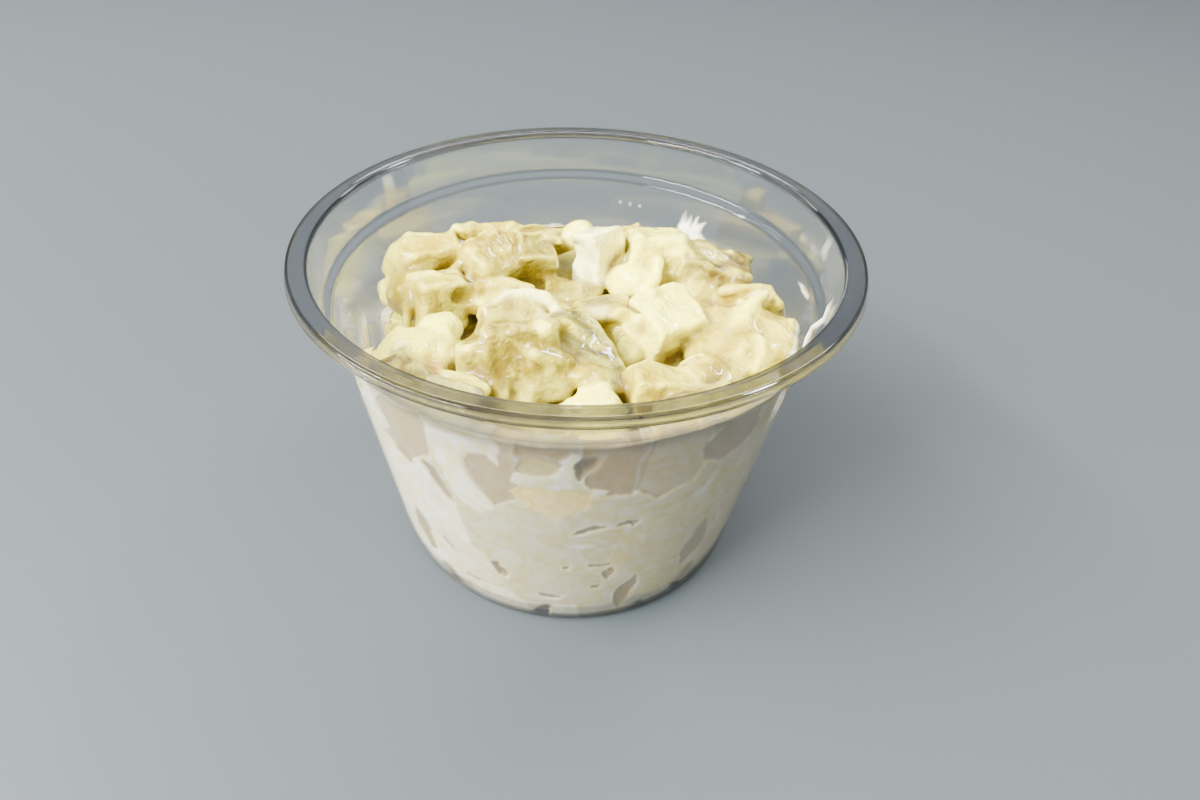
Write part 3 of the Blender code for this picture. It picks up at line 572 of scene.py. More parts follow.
class Heap:
    """Pieces melted softly together at a cloud of points, with their colours carried along."""

    def __init__(self, points):
        self.points = points
        sway = np.stack([soft_noise(points, SWAY_WIDTH, seed) for seed in (1, 2, 3)], axis=1)
        crumple = np.stack([soft_noise(points, CRUMPLE_WIDTH, seed) for seed in (4, 5, 6)], axis=1)
        self.warped = points + SWAY_DEPTH * sway + CRUMPLE_DEPTH * crumple
        self.grain = soft_noise(points, GRAIN_WIDTH, 7)
        self.crease = soft_noise(points, CREASE_WIDTH, 12)
        self.dented = np.full(len(points), -np.inf, np.float32)
        self.weight = np.full(len(points), 1e-9, np.float32)
        self.colour = np.zeros((len(points), 3), np.float32)
        self.axes = None

    def near(self, low, high):
        """The indexes of the points in a box. On a plain grid they come from its axes."""
        if self.axes is None:
            return np.flatnonzero(np.all((self.points > low) & (self.points < high), axis=1))
        spans = [np.flatnonzero((axis > a) & (axis < b)) for axis, a, b in zip(self.axes, low, high)]
        return np.ravel_multi_index(np.ix_(*spans), [len(axis) for axis in self.axes]).ravel()

    def add(self, where, distance, kind, local=None):
        """Melts a piece in, from its distance at some of the points, streaked along its own Y."""
        colour, _, streaks, creases = KINDS[kind]
        colour = linear(colour).astype(np.float32)
        if streaks and local is not None:
            stretch = np.array((1.0, 1.0 / STREAK_STRETCH, 1.0 / STREAK_STRETCH))
            streak = soft_noise(local * stretch, STREAK_WIDTH, 9)
            distance = distance + streaks * streak
            colour = colour * (1.0 - 2.0 * streaks * streak)[:, None]
        distance = distance + GRAIN_DEPTH * self.grain[where] + creases * self.crease[where]
        weight = np.exp(np.clip(-distance / SOFTNESS, -40.0, 30.0)).astype(np.float32)
        self.weight[where] += weight
        self.colour[where] += weight[:, None] * colour

    def around(self, centre, reach, turn=0.0, tip_x=0.0, tip_y=0.0):
        """The indexes of the points round a centre, and their places in a turned piece's own frame."""
        where = self.near(np.subtract(centre, reach), np.add(centre, reach))
        return where, (self.warped[where] - np.asarray(centre)) @ turning(turn, tip_x, tip_y)

    def add_lump(self, kind, centre, size, turn=0.0):
        """Melts in one soft lump."""
        where, local = self.around(centre, max(size) / 2 + LUMP_MARGIN, turn)
        self.add(where, lump_distance(local, size), kind, local)

    def add_block(self, kind, centre, size, turn=0.0, tip_x=0.0, tip_y=0.0):
        """Melts in one cut piece, with a few slanting cuts drawn for its place."""
        reach = np.linalg.norm(size) / 2 + BLOCK_MARGIN
        where, local = self.around(centre, reach, turn, tip_x, tip_y)
        distance = block_distance(local, size, KINDS[kind][1])
        draw = random.Random(f"{centre[0]:.1f} {centre[1]:.1f}")
        for _ in range(BLOCK_CUTS):
            way = np.array([draw.uniform(-1.0, 1.0), draw.uniform(-1.0, 1.0), draw.uniform(0.0, 1.0)])
            way /= np.linalg.norm(way)
            corner = np.abs(way) @ (np.asarray(size) / 2)
            distance = np.maximum(distance, local @ way - draw.uniform(*CUT_REACHES) * corner)
        self.add(where, distance, kind, local)

    def add_ridge(self, kind, course):
        """Melts in a fold or drip."""
        corners = np.array(course)[:, :3]
        where = self.near(corners.min(0) - RIDGE_MARGIN, corners.max(0) + RIDGE_MARGIN)
        middle = blended(self.points[where], self.warped[where], RIDGE_BEND)
        self.add(where, ridge_distance(middle, course), kind)

    def dent(self, centre, size):
        """Presses a hollow into the heap."""
        where, local = self.around(centre, max(size) / 2 + LUMP_MARGIN)
        self.dented[where] = np.maximum(self.dented[where], -lump_distance(local, size))

    def add_core(self):
        """Melts in the core that the pieces stand on."""
        top = core_top(self.points[:, 0], self.points[:, 1])
        rough = CORE_ROUGHNESS * soft_noise(self.points, CORE_ROUGH_WIDTH, 8)
        self.add(slice(None), self.points[:, 2] - top - rough, "core")

    def skin(self):
        """The distance to the melted skin, less than 0 inside."""
        return np.maximum(-SOFTNESS * np.log(self.weight), self.dented)

    def tint(self):
        """The melted colour at each point."""
        return self.colour / self.weight[:, None]


def filler_rows():
    """Where the drawn lumps stand: x, y, z, length, width, height, turn."""
    draw = random.Random(SEED)
    rows = []
    steps = int(FILLER_REACH // FILLER_PITCH)
    for line in range(-steps, steps + 1):
        for column in range(-steps - 1, steps + 1):
            x = (column + 0.5 * (line % 2)) * FILLER_PITCH + draw.uniform(-FILLER_SHIFT, FILLER_SHIFT)
            y = line * FILLER_PITCH + draw.uniform(-FILLER_SHIFT, FILLER_SHIFT)
            z = draw.uniform(*FILLER_HEIGHTS) + float(core_top(x, y)) - CORE_TOP
            size = [draw.uniform(*FILLER_SIZES) for _ in range(3)]
            turn = draw.uniform(0.0, 90.0)
            nearest = min(math.hypot(x - row[0], y - row[1]) for row in LUMPS + CUT_PIECES)
            if math.hypot(x, y) < FILLER_REACH and nearest > FILLER_CLEARANCE:
                rows.append((x, y, z, *size, turn))
    return rows


def edge_rows():
    """Drawn pieces that stand round the edge of the heap: azimuth, height, width, height, kind."""
    draw = random.Random(SEED + 1)
    rows = []
    for i in range(EDGE_PIECES):
        azimuth = i * 360.0 / EDGE_PIECES - 180.0 + draw.uniform(-EDGE_SHIFT, EDGE_SHIFT)
        middle = draw.uniform(*EDGE_HEIGHTS)
        width, tall = draw.uniform(*EDGE_WIDTHS), draw.uniform(*EDGE_TALLS)
        if FRONT_AZIMUTHS[0] < azimuth < FRONT_AZIMUTHS[1]:
            middle += FRONT_RISE
        rows.append((azimuth, middle, width, tall, EDGE_KINDS[i % len(EDGE_KINDS)]))
    return rows


def fill_heap(heap):
    """Melts every piece into the heap."""
    heap.add_core()
    for x, y, z, length, width, height, turn, kind in LUMPS:
        heap.add_lump(kind, (x, y, z), (length, width, height), turn)
    for x, y, z, length, width, height, turn, tip_x, tip_y, kind in CUT_PIECES:
        heap.add_block(kind, (x, y, z), (length, width, height), turn, tip_x, tip_y)
    for x, y, z, length, width, height, turn in filler_rows():
        heap.add_block("cream", (x, y, z), (length, width, height), turn)
    for kind, course in RIDGES:
        heap.add_ridge(kind, course)
    for x, y, z, length, width, height in DENTS:
        heap.dent((x, y, z), (length, width, height))
    for azimuth, height, width, tall, kind in edge_rows():
        spot = math.radians(azimuth)
        radius = float(inner_radius(height)) - EDGE_INSET
        x, y = radius * math.cos(spot), radius * math.sin(spot)
        dip = float(core_top(x, y)) - CORE_TOP + CORE_DROP
        heap.add_block(kind, (x, y, height + dip), (width, EDGE_DEPTH, tall), azimuth + 90.0)


def surface_heights(heap, shape):
    """A function that gives the height of the heap's top over a point of its plan."""
    solid = (heap.skin() < 0).reshape(shape)
    across, along, up = heap.axes
    highest = up[shape[2] - 1 - np.argmax(solid[:, :, ::-1], axis=2)]

    def height(x, y):
        i = min(max(int(round((x - across[0]) / (across[1] - across[0]))), 0), shape[0] - 1)
        j = min(max(int(round((y - along[0]) / (along[1] - along[0]))), 0), shape[1] - 1)
        return float(highest[i, j])

    return height


def crumb_rows(height):
    """Crumbs drawn over the top of the heap: what each is, its centre, sizes and turn."""
    draw = random.Random(SEED + 3)
    rows = []
    for _ in range(CRUMBS):
        angle, radius = draw.uniform(0.0, math.tau), CRUMB_REACH * math.sqrt(draw.random())
        x, y = radius * math.cos(angle), radius * math.sin(angle)
        sizes = [draw.uniform(*CRUMB_SIZES) * share for share in CRUMB_SHARES]
        centre = (x, y, height(x, y) - CRUMB_SUNK * sizes[2])
        rows.append((draw.choice(CRUMB_KINDS), centre, sizes, draw.uniform(0.0, 180.0)))
    return rows


def box_blur(field, reach):
    """The field averaged over a cube that reaches this many cells each way."""
    for axis in range(3):
        padding = [(0, 0)] * 3
        padding[axis] = (reach + 1, reach)
        total = np.cumsum(np.pad(field, padding, mode="edge"), axis=axis, dtype=np.float64)
        length = total.shape[axis]
        high = np.take(total, range(2 * reach + 1, length), axis=axis)
        low = np.take(total, range(0, length - 2 * reach - 1), axis=axis)
        field = ((high - low) / (2 * reach + 1)).astype(np.float32)
    return field


def surface_net(field):
    """The zero surface of a 3-D field, as points in cells and quads."""
    inside = field < 0
    cells = tuple(size - 1 for size in field.shape)
    total = np.zeros((*cells, 3), np.float32)
    count = np.zeros(cells, np.int8)
    found = []
    for axis in range(3):
        low, high = [slice(None)] * 3, [slice(None)] * 3
        low[axis], high[axis] = slice(None, -1), slice(1, None)
        low, high = tuple(low), tuple(high)
        crossing = inside[low] != inside[high]
        a, b = field[low][crossing], field[high][crossing]
        spots = np.argwhere(crossing)
        points = spots.astype(np.float32)
        points[:, axis] += a / (a - b)
        sideways = np.delete(np.eye(3, dtype=int), axis, axis=0)
        ring = spots[:, None] - np.array(((0, 0), (1, 0), (1, 1), (0, 1))) @ sideways
        whole = np.all((ring >= 0) & (ring < cells), axis=(1, 2))
        ring = np.moveaxis(ring[whole], 1, 0)
        for cell in ring:
            np.add.at(total, tuple(cell.T), points[whole])
            np.add.at(count, tuple(cell.T), 1)
        quads = np.stack([np.ravel_multi_index(cell.T, cells) for cell in ring], axis=1)
        flipped = (a < 0)[whole] == (axis == 1)
        quads[flipped] = quads[flipped][:, ::-1]
        found.append(quads)
    quads = np.concatenate(found)
    used, index = np.unique(quads, return_inverse=True)
    points = total.reshape(-1, 3)[used] / count.reshape(-1)[used, None]
    return points, index.reshape(quads.shape)


def relaxed(points, quads):
    """The points drawn halfway to their neighbours, which evens out the steps of the grid."""
    start, end = quads.ravel(), np.roll(quads, -1, axis=1).ravel()
    size = len(points)
    neighbours = np.bincount(start, minlength=size) + np.bincount(end, minlength=size)
    for _ in range(RELAX_ROUNDS):
        total = []
        for side in points.T:
            total.append(np.bincount(start, side[end], size) + np.bincount(end, side[start], size))
        points = 0.5 * points + 0.5 * np.stack(total, axis=1) / neighbours[:, None]
    return points


def compacted(quads, *columns):
    """The quads as lists over only the points that they use, then each column for those points."""
    used, compact = np.unique(quads, return_inverse=True)
    return compact.reshape(quads.shape).tolist(), *(column[used] for column in columns)


def turned(profile, sides):
    """Points and faces of a section of (radius, height) turned about Z, with its first ring capped."""
    angles = np.linspace(0.0, math.tau, sides, endpoint=False)
    rings = []
    for radius, height in profile:
        ring = (radius * np.cos(angles), radius * np.sin(angles), np.full(sides, height))
        rings.append(np.stack(ring, axis=1))
    index = np.arange(len(rings) * sides).reshape(len(rings), sides)
    after = np.roll(index, -1, axis=1)
    faces = np.stack([index[:-1], after[:-1], after[1:], index[1:]], axis=-1).reshape(-1, 4).tolist()
    faces.append(index[0][::-1].tolist())
    return np.concatenate(rings), faces


def mesh_object(name, points, faces, colours, material):
    """A smooth mesh object from points in millimetres, with a colour, and maybe an alpha, at each point."""
    mesh = bpy.data.meshes.new(name)
    mesh.from_pydata((np.asarray(points, float) * MM).tolist(), [], faces)
    mesh.polygons.foreach_set("use_smooth", np.ones(len(mesh.polygons), bool))
    layer = mesh.color_attributes.new("tint", "FLOAT_COLOR", "POINT")
    rows = np.ones((len(points), 4), np.float32)
    rows[:, : colours.shape[1]] = colours
    layer.data.foreach_set("color", rows.ravel())
    mesh.materials.append(material)
    mesh.update()
    obj = bpy.data.objects.new(name, mesh)
    bpy.context.scene.collection.objects.link(obj)
    return obj


def shaded_tint(tint, near, far, points):
    """Colours with a painted shade deepened in crevices and made paler on folds, from how filled the space
    is, near and far.
    """
    mottle = 0.5 + 0.5 * soft_noise(points, 3.5, 21)
    # painted shade where the space round a point is most filled
    crevice_shade = np.clip(smooth_step(*CREVICE_SHADE_FILLING, far) * (0.75 + 0.5 * mottle), 0.0, 1.0)
    fold = FOLD_PALING * smooth_step(*FOLD_FILLING, near)
    tint = blended(tint, linear(CREVICE_SHADE), crevice_shade[:, None])
    return blended(tint, linear(COATING), fold[:, None])


def edge_tint(tint, points, beyond):
    """The top's colours towards the wall, the pressed brown halved as a painted shade, and the painted
    shade of the cup's ledge at the front.
    """
    # painted shade: the pressed brown at half strength where the top turns down by the wall
    share = PRESSED_SHADE_SHARE * smooth_step(*PRESSED_PLACE, beyond)[:, None]
    tint = blended(tint, 0.5 * linear(PRESSED_BROWN), share)
    aside = np.abs(np.degrees(np.arctan2(points[:, 1], points[:, 0])) - FRONT)
    shaded = smooth_step(*SHADED_PLACE, beyond) * smooth_step(*SHADED_SPREAD, aside)
    return blended(tint, linear(SHADED), SHADED_SHARE * shaded[:, None])


def sampled(field, spots):
    """A grid's values read at points given in cells."""
    low = np.clip(np.floor(spots).astype(int), 0, np.array(field.shape[:3]) - 2)
    part = spots - low
    total = 0.0
    for corner in np.ndindex(2, 2, 2):
        share = np.prod(np.where(corner, part, 1.0 - part), axis=1)
        total = total + share[:, None] * field[tuple((low + corner).T)]
    return total


def without_hidden(quads, hidden):
    """The quads without those more than a few steps in among the hidden points."""
    kept = ~hidden
    for _ in range(TUCKED_STEPS):
        touched = quads[kept[quads].any(axis=1)]
        kept[touched.ravel()] = True
    return quads[kept[quads].all(axis=1)]


def without_scraps(quads):
    """The quads without loose scraps of a few faces."""
    label = np.arange(quads.max() + 1)
    while True:
        fresh = label.copy()
        np.minimum.at(fresh, quads, label[quads].min(axis=1)[:, None])
        fresh = fresh[fresh]
        if np.array_equal(fresh, label):
            break
        label = fresh
    owner = label[quads[:, 0]]
    return quads[np.bincount(owner)[owner] > SCRAP_FACES]


def beyond_edge(points):
    """How far points are beyond the edge of the heap's top by the wall, less than 0 inside it."""
    return np.hypot(points[:, 0], points[:, 1]) - inner_radius(points[:, 2]) + TOP_INSET


def salad_top(material):
    """The top of the heap, down to where the wall's skin takes over, and the crumbs drawn over it."""
    step = STEP
    axes = [np.arange(low, high, step) for low, high in zip(GRID_LOW, GRID_HIGH)]
    shape = tuple(len(axis) for axis in axes)
    points = np.stack(np.meshgrid(*axes, indexing="ij"), axis=-1).reshape(-1, 3).astype(np.float32)
    heap = Heap(points)
    heap.axes = axes
    fill_heap(heap)
    crumbs = crumb_rows(surface_heights(heap, shape))
    for row in crumbs:
        heap.add_lump(*row)
    skin = heap.skin()
    bottom = GRID_LOW[2] + step - points[:, 2]
    field = np.maximum(np.maximum(skin, beyond_edge(points)), bottom).reshape(shape)
    filled = np.clip(0.5 - skin.reshape(shape) / step, 0.0, 1.0)
    cells, quads = surface_net(field)
    near, far = (
        sampled(box_blur(filled, max(1, round(reach / step)))[..., None], cells)[:, 0]
        for reach in (NEAR_REACH, FAR_REACH)
    )
    world = relaxed(cells * step + np.array([axis[0] for axis in axes]), quads)
    tint = shaded_tint(sampled(heap.tint().reshape(*shape, 3), cells), near, far, world)
    beyond = beyond_edge(world)
    tint = edge_tint(tint, world, beyond)
    low = world[:, 2] < GRID_LOW[2] + 1.6 * step
    quads = without_scraps(without_hidden(quads, (beyond > BEHIND_SKIN) | low))
    faces, world, tint = compacted(quads, world, tint)
    return mesh_object("salad_top", world, faces, tint, material), crumbs


def salad_floor(material):
    """The underside of the salad, against the floor of the cup."""
    radii = np.linspace(HUB_RADIUS, FOOT_RADIUS - WALL - FOOT_ROUNDING, FLOOR_RINGS)
    profile = [(radius, FLOOR - INTO_WALL) for radius in radii]
    profile.append((float(inner_radius(SALAD_LOWEST)) + INTO_WALL, SALAD_LOWEST))
    points, faces = turned(profile, FLOOR_SIDES)
    tan = smooth_step(0.0, 0.5, soft_noise(points, 9.0, 45))[:, None]
    white = smooth_step(0.35, 0.45, soft_noise(points, 6.0, 46))[:, None]
    colours = blended(blended(linear(FILM), linear(PRESSED_TAN), tan), linear(FILM_WHITE_AND_LIGHT), white)
    return mesh_object("salad_floor", points, faces, colours, material)


def wall_grid():
    """Azimuths in degrees and heights of the points of the skin on the wall, finer at the front."""
    front = np.linspace(*WALL_EDGES, FRONT_COLUMNS)
    back = np.linspace(WALL_EDGES[1], WALL_EDGES[0] + 360.0, BACK_COLUMNS)
    heights = np.linspace(SALAD_LOWEST, WALL_TOP, WALL_ROWS)
    return np.meshgrid(np.concatenate([front, back[1:-1]]), heights, indexing="ij")


def wall_points(azimuth, height, radius):
    """Points in the row's frame from azimuth, height and radius."""
    angle = np.radians(azimuth)
    return np.stack([radius * np.cos(angle), radius * np.sin(angle), height], axis=-1)


def along_wall(corners):
    """An outline's corners as (millimetres along the wall, height), from (azimuth, height)."""
    return [(math.radians(azimuth) * MID_RADIUS, height) for azimuth, height in corners]


def outline_distance(x, y, corners):
    """How far points are outside a closed outline, less than 0 inside."""
    nearest = np.full(x.shape, np.inf)
    inside = np.zeros(x.shape, bool)
    for (ax, ay), (bx, by) in zip(corners, corners[1:] + corners[:1]):
        along = ((x - ax) * (bx - ax) + (y - ay) * (by - ay)) / ((bx - ax) ** 2 + (by - ay) ** 2)
        along = np.clip(along, 0.0, 1.0)
        away = np.hypot(x - ax - along * (bx - ax), y - ay - along * (by - ay))
        nearest = np.minimum(nearest, away)
        if ay != by:
            crosses = ((ay > y) != (by > y)) & (x < ax + (y - ay) * (bx - ax) / (by - ay))
            inside ^= crosses
    return np.where(inside, -nearest, nearest)


class WallSkin:
    """The skin of the salad on the wall: a colour and a depth at each point of a grid."""

    def __init__(self):
        self.azimuth, self.height = wall_grid()
        place = wall_points(self.azimuth, self.height, inner_radius(self.height)).reshape(-1, 3)
        shape = self.azimuth.shape
        sways = []
        for seed in WAVE_SEEDS:
            waves = enumerate(WALL_WAVES)
            sway = sum(depth * soft_noise(place, width, seed + i) for i, (width, depth) in waves)
            sways.append(sway.reshape(shape))
        self.along = np.radians(self.azimuth) * MID_RADIUS + sways[0]
        self.up = self.height + sways[1]
        self.cloud = soft_noise(place, 10.0, 37).reshape(shape)
        streaked = np.stack([self.along, self.up * 0.35, 0.0 * self.up], axis=-1).reshape(-1, 3)
        spots, streaks = 0.6 * soft_noise(place, 4.0, 38), 0.6 * soft_noise(streaked, 1.3, 39)
        self.mottle = (spots + streaks).reshape(shape)
        self.depth = 0.12 * np.maximum(self.cloud, 0.0)
        dimmer = 0.12 * smooth_step(0.0, 0.9, -self.cloud)[..., None]
        self.colour = blended(linear(FILM), linear(PRESSED_BROWN), dimmer)

    def shape(self, colour, depth, corners):
        """Lays a patch of a colour and depth in an outline, with lines round a deep one."""
        outside = outline_distance(self.along, self.up, along_wall(corners))
        share = (smooth_step(SHAPE_EDGE, -SHAPE_EDGE, outside) * (0.86 + 0.14 * self.cloud))[..., None]
        shade = linear(colour) * (1.0 + 0.1 * self.mottle[..., None])
        self.colour = blended(self.colour, shade, share)
        self.depth = blended(self.depth, depth, share[..., 0])
        if depth > LINED_DEPTH:
            for line_colour, place, width in LINES:
                line = LINE_SHARE * np.exp(-(((outside - place) / width) ** 2))[..., None]
                self.colour = blended(self.colour, linear(line_colour), line)

    def oval(self, azimuth, height, width, tall, roll):
        """How far each point is outside an oval, in millimetres."""
        along = self.along - math.radians(azimuth) * MID_RADIUS
        along = (along + math.pi * MID_RADIUS) % (math.tau * MID_RADIUS) - math.pi * MID_RADIUS
        up = self.up - height
        angle = math.radians(roll)
        u = (along * math.cos(angle) + up * math.sin(angle)) / (width / 2)
        v = (up * math.cos(angle) - along * math.sin(angle)) / (tall / 2)
        ring = (np.abs(u) ** GAP_ROUNDNESS + np.abs(v) ** GAP_ROUNDNESS) ** (1.0 / GAP_ROUNDNESS)
        return (ring - 1.0) * min(width, tall) / 2

    def gap(self, azimuth, height, width, tall, roll):
        """Sinks a clear gap between two pieces, with a painted shade in it."""
        share = smooth_step(*GAP_EDGE, self.oval(azimuth, height, width, tall, roll))
        self.depth = np.maximum(self.depth, WALL_DEEPEST * share)
        # painted shade in the gap
        self.colour = blended(self.colour, linear(SLIT_SHADE), share[..., None])


def lay_hidden_patches(skin):
    """Draws patches for the part of the wall that the front doesn't show."""
    draw = random.Random(SEED + 2)
    for _ in range(HIDDEN_PATCHES):
        colour, depth, share = draw.choice(HIDDEN_KINDS)
        azimuth, height = draw.uniform(*HIDDEN_AZIMUTHS), draw.uniform(*HIDDEN_HEIGHTS)
        width, tall = share * draw.uniform(*HIDDEN_WIDTHS), share * draw.uniform(*HIDDEN_TALLS)
        turn = draw.uniform(0.0, math.tau)
        corners = []
        for i in range(HIDDEN_CORNERS):
            angle = turn + i * math.tau / HIDDEN_CORNERS
            reach = draw.uniform(*HIDDEN_REACHES)
            along, up = reach * width * math.cos(angle), reach * tall * math.sin(angle)
            corners.append((azimuth + along, height + up))
        skin.shape(colour, depth, corners)


def heap_depth(azimuth, height, crumbs):
    """How far inside the wall the heap's own skin is, up to the deepest that is looked at."""
    found = np.full(azimuth.shape, np.inf)
    steps = np.linspace(0.0, WALL_DEEPEST, DEPTH_STEPS)
    grids = [wall_points(azimuth, height, inner_radius(height) - step) for step in steps]
    heap = Heap(np.stack(grids).reshape(-1, 3).astype(np.float32))
    fill_heap(heap)
    for row in crumbs:
        heap.add_lump(*row)
    skins = heap.skin().reshape(len(steps), *azimuth.shape)
    found[skins[0] < 0] = 0.0
    for i in range(1, len(steps)):
        entering = np.isinf(found) & (skins[i] < 0)
        a, b = skins[i - 1][entering], skins[i][entering]
        found[entering] = steps[i - 1] + (steps[i] - steps[i - 1]) * a / (a - b)
    return found


def fill_line(azimuth):
    """The height that the salad reaches on the wall at the front, lower towards the left."""
    return FRONT_FILL - LEFT_DROP * smooth_step(*LEFT_AZIMUTHS, azimuth)


def open_depths(skin, crumbs):
    """How far inside the wall the heap is at each point of the skin, and where it is too far for a skin."""
    upper = skin.height[0] > GRID_LOW[2]
    found = np.zeros(skin.depth.shape)
    found[:, upper] = heap_depth(skin.azimuth[:, upper], skin.height[:, upper], crumbs)
    front = (skin.azimuth > WALL_EDGES[0]) & (skin.azimuth < FRONT_AZIMUTHS[1])
    found[front & (skin.height < fill_line(skin.azimuth) + 0.8 * skin.cloud)] = 0.0
    bare = np.isinf(found) | (found > OPEN_SHARE * WALL_DEEPEST)
    return np.where(bare, WALL_DEEPEST, found), bare


def salad_side(material, crumbs):
    """The salad against the wall of the cup, as a finer piece at the front and one round the rest."""
    skin = WallSkin()
    lay_hidden_patches(skin)
    for row in FRONT_SHAPES:
        skin.shape(*row)
    for row in FRONT_GAPS:
        skin.gap(*row)
    shade = LEDGE_SHADE_SHARE * smooth_step(*LEDGE_SHADE_HEIGHTS, skin.height)[..., None]
    colours = blended(skin.colour, linear(SHADED), shade).reshape(-1, 3)
    depth, bare = open_depths(skin, crumbs)
    radius = inner_radius(skin.height) + INTO_WALL - np.maximum(skin.depth, depth)
    points = wall_points(skin.azimuth, skin.height, radius).reshape(-1, 3)
    index = np.arange(bare.size).reshape(bare.shape)
    after = np.roll(index, -1, axis=0)
    quads = np.stack([index[:, :-1], after[:, :-1], after[:, 1:], index[:, 1:]], axis=-1)
    made = []
    for name, part in zip(("salad_front", "salad_back"), np.split(quads, [FRONT_COLUMNS - 1])):
        part = part.reshape(-1, 4)
        part = part[~bare.ravel()[part].all(axis=-1)]
        faces, part_points, part_colours = compacted(part, points, colours)
        made.append(mesh_object(name, part_points, faces, part_colours, material))
    return made


def smear_mesh(corners, material):
    """A smear on the inside of the wall as a small closed mesh, thickest in its middle."""
    outline = along_wall(corners)
    low = np.min(outline, axis=0) - SMEAR_MARGIN
    high = np.max(outline, axis=0) + SMEAR_MARGIN
    sides = [np.arange(start, end, SMEAR_STEP) for start, end in zip(low, high)]
    along, up = np.meshgrid(*sides, indexing="ij")
    azimuth = np.degrees(along / MID_RADIUS)
    radius = inner_radius(up)
    place = wall_points(azimuth, up, radius).reshape(-1, 3)
    sway = SMEAR_WAVE_DEPTH * soft_noise(place, SMEAR_WAVE_WIDTH, 41).reshape(up.shape)
    outside = outline_distance(along + sway, up + sway, outline)
    swelling = 1.0 - np.exp(np.minimum(outside, 0.0) / SMEAR_SLOPE)
    thickness = SMEAR_THICKNESS * swelling * (1.0 + 0.4 * sway)
    inner = wall_points(azimuth, up, radius - thickness).reshape(-1, 3)
    outer = wall_points(azimuth, up, radius + INTO_WALL).reshape(-1, 3)
    index = np.arange(up.size).reshape(up.shape)
    quads = np.stack([index[:-1, :-1], index[1:, :-1], index[1:, 1:], index[:-1, 1:]], axis=-1)
    quads = quads.reshape(-1, 4)
    quads = quads[(outside.ravel()[quads] < SMEAR_EDGE[0]).any(axis=-1)]
    edges = np.stack([quads, np.roll(quads, -1, axis=1)], axis=-1).reshape(-1, 2)
    _, first, count = np.unique(np.sort(edges, axis=1), axis=0, return_index=True, return_counts=True)
    rim = edges[first[count == 1]]
    joins = np.concatenate([rim[:, ::-1], rim + up.size], axis=1)
    faces = np.concatenate([quads, quads[:, ::-1] + up.size, joins])
    cover = np.tile(smooth_step(*SMEAR_EDGE, outside + 0.9 * sway).ravel(), 2)
    faces, points, cover = compacted(faces, np.concatenate([inner, outer]), cover)
    colours = np.zeros((len(points), 4)) + np.append(linear(FILM_WHITE_AND_LIGHT), 1.0)
    colours[:, 3] = SMEAR_ALPHAS[0] + SMEAR_ALPHAS[1] * cover
    return mesh_object("smear", points, faces, colours, material)


def rounded_corners(corners):
    """A profile with a small arc at each corner, from (radius, height, rounding, part) rows."""
    made = []
    for i, (r, z, rounding, part) in enumerate(corners):
        here = np.array((r, z))
        if rounding == 0.0:
            made.append((*here, part))
            continue
        back = np.array(corners[i - 1][:2]) - here
        ahead = np.array(corners[i + 1][:2]) - here
        start = here + back * min(rounding / np.linalg.norm(back), ROUNDING_SHARE)
        end = here + ahead * min(rounding / np.linalg.norm(ahead), ROUNDING_SHARE)
        for share in np.linspace(0.0, 1.0, ROUNDING_STEPS):
            spot = (1 - share) ** 2 * start + 2 * share * (1 - share) * here + share**2 * end
            made.append((*spot, part))
    return made


def ledge_corners(out):
    """The crease, the ledge and the band from below, on the face this far outside the inner one."""
    return [
        (CREASE_RADIUS + out, CREASE_HEIGHT, 0.5, "wall"),
        (LEDGE_RADIUS + out - 0.07, LEDGE_HEIGHT - 0.6, 0.0, "wall"),
        (LEDGE_RADIUS + out, LEDGE_HEIGHT, 0.3, "ledge"),
        (LEDGE_RADIUS + out + 0.6, LEDGE_HEIGHT + 0.6, 0.0, "wall"),
        (BAND_RADIUS + out - 0.5, BAND_HEIGHT - 0.5, 0.0, "wall"),
        (BAND_RADIUS + out, BAND_HEIGHT, 0.4, "ledge"),
        (BAND_RADIUS + out + 0.1, BAND_HEIGHT + 0.7, 0.0, "wall"),
    ]


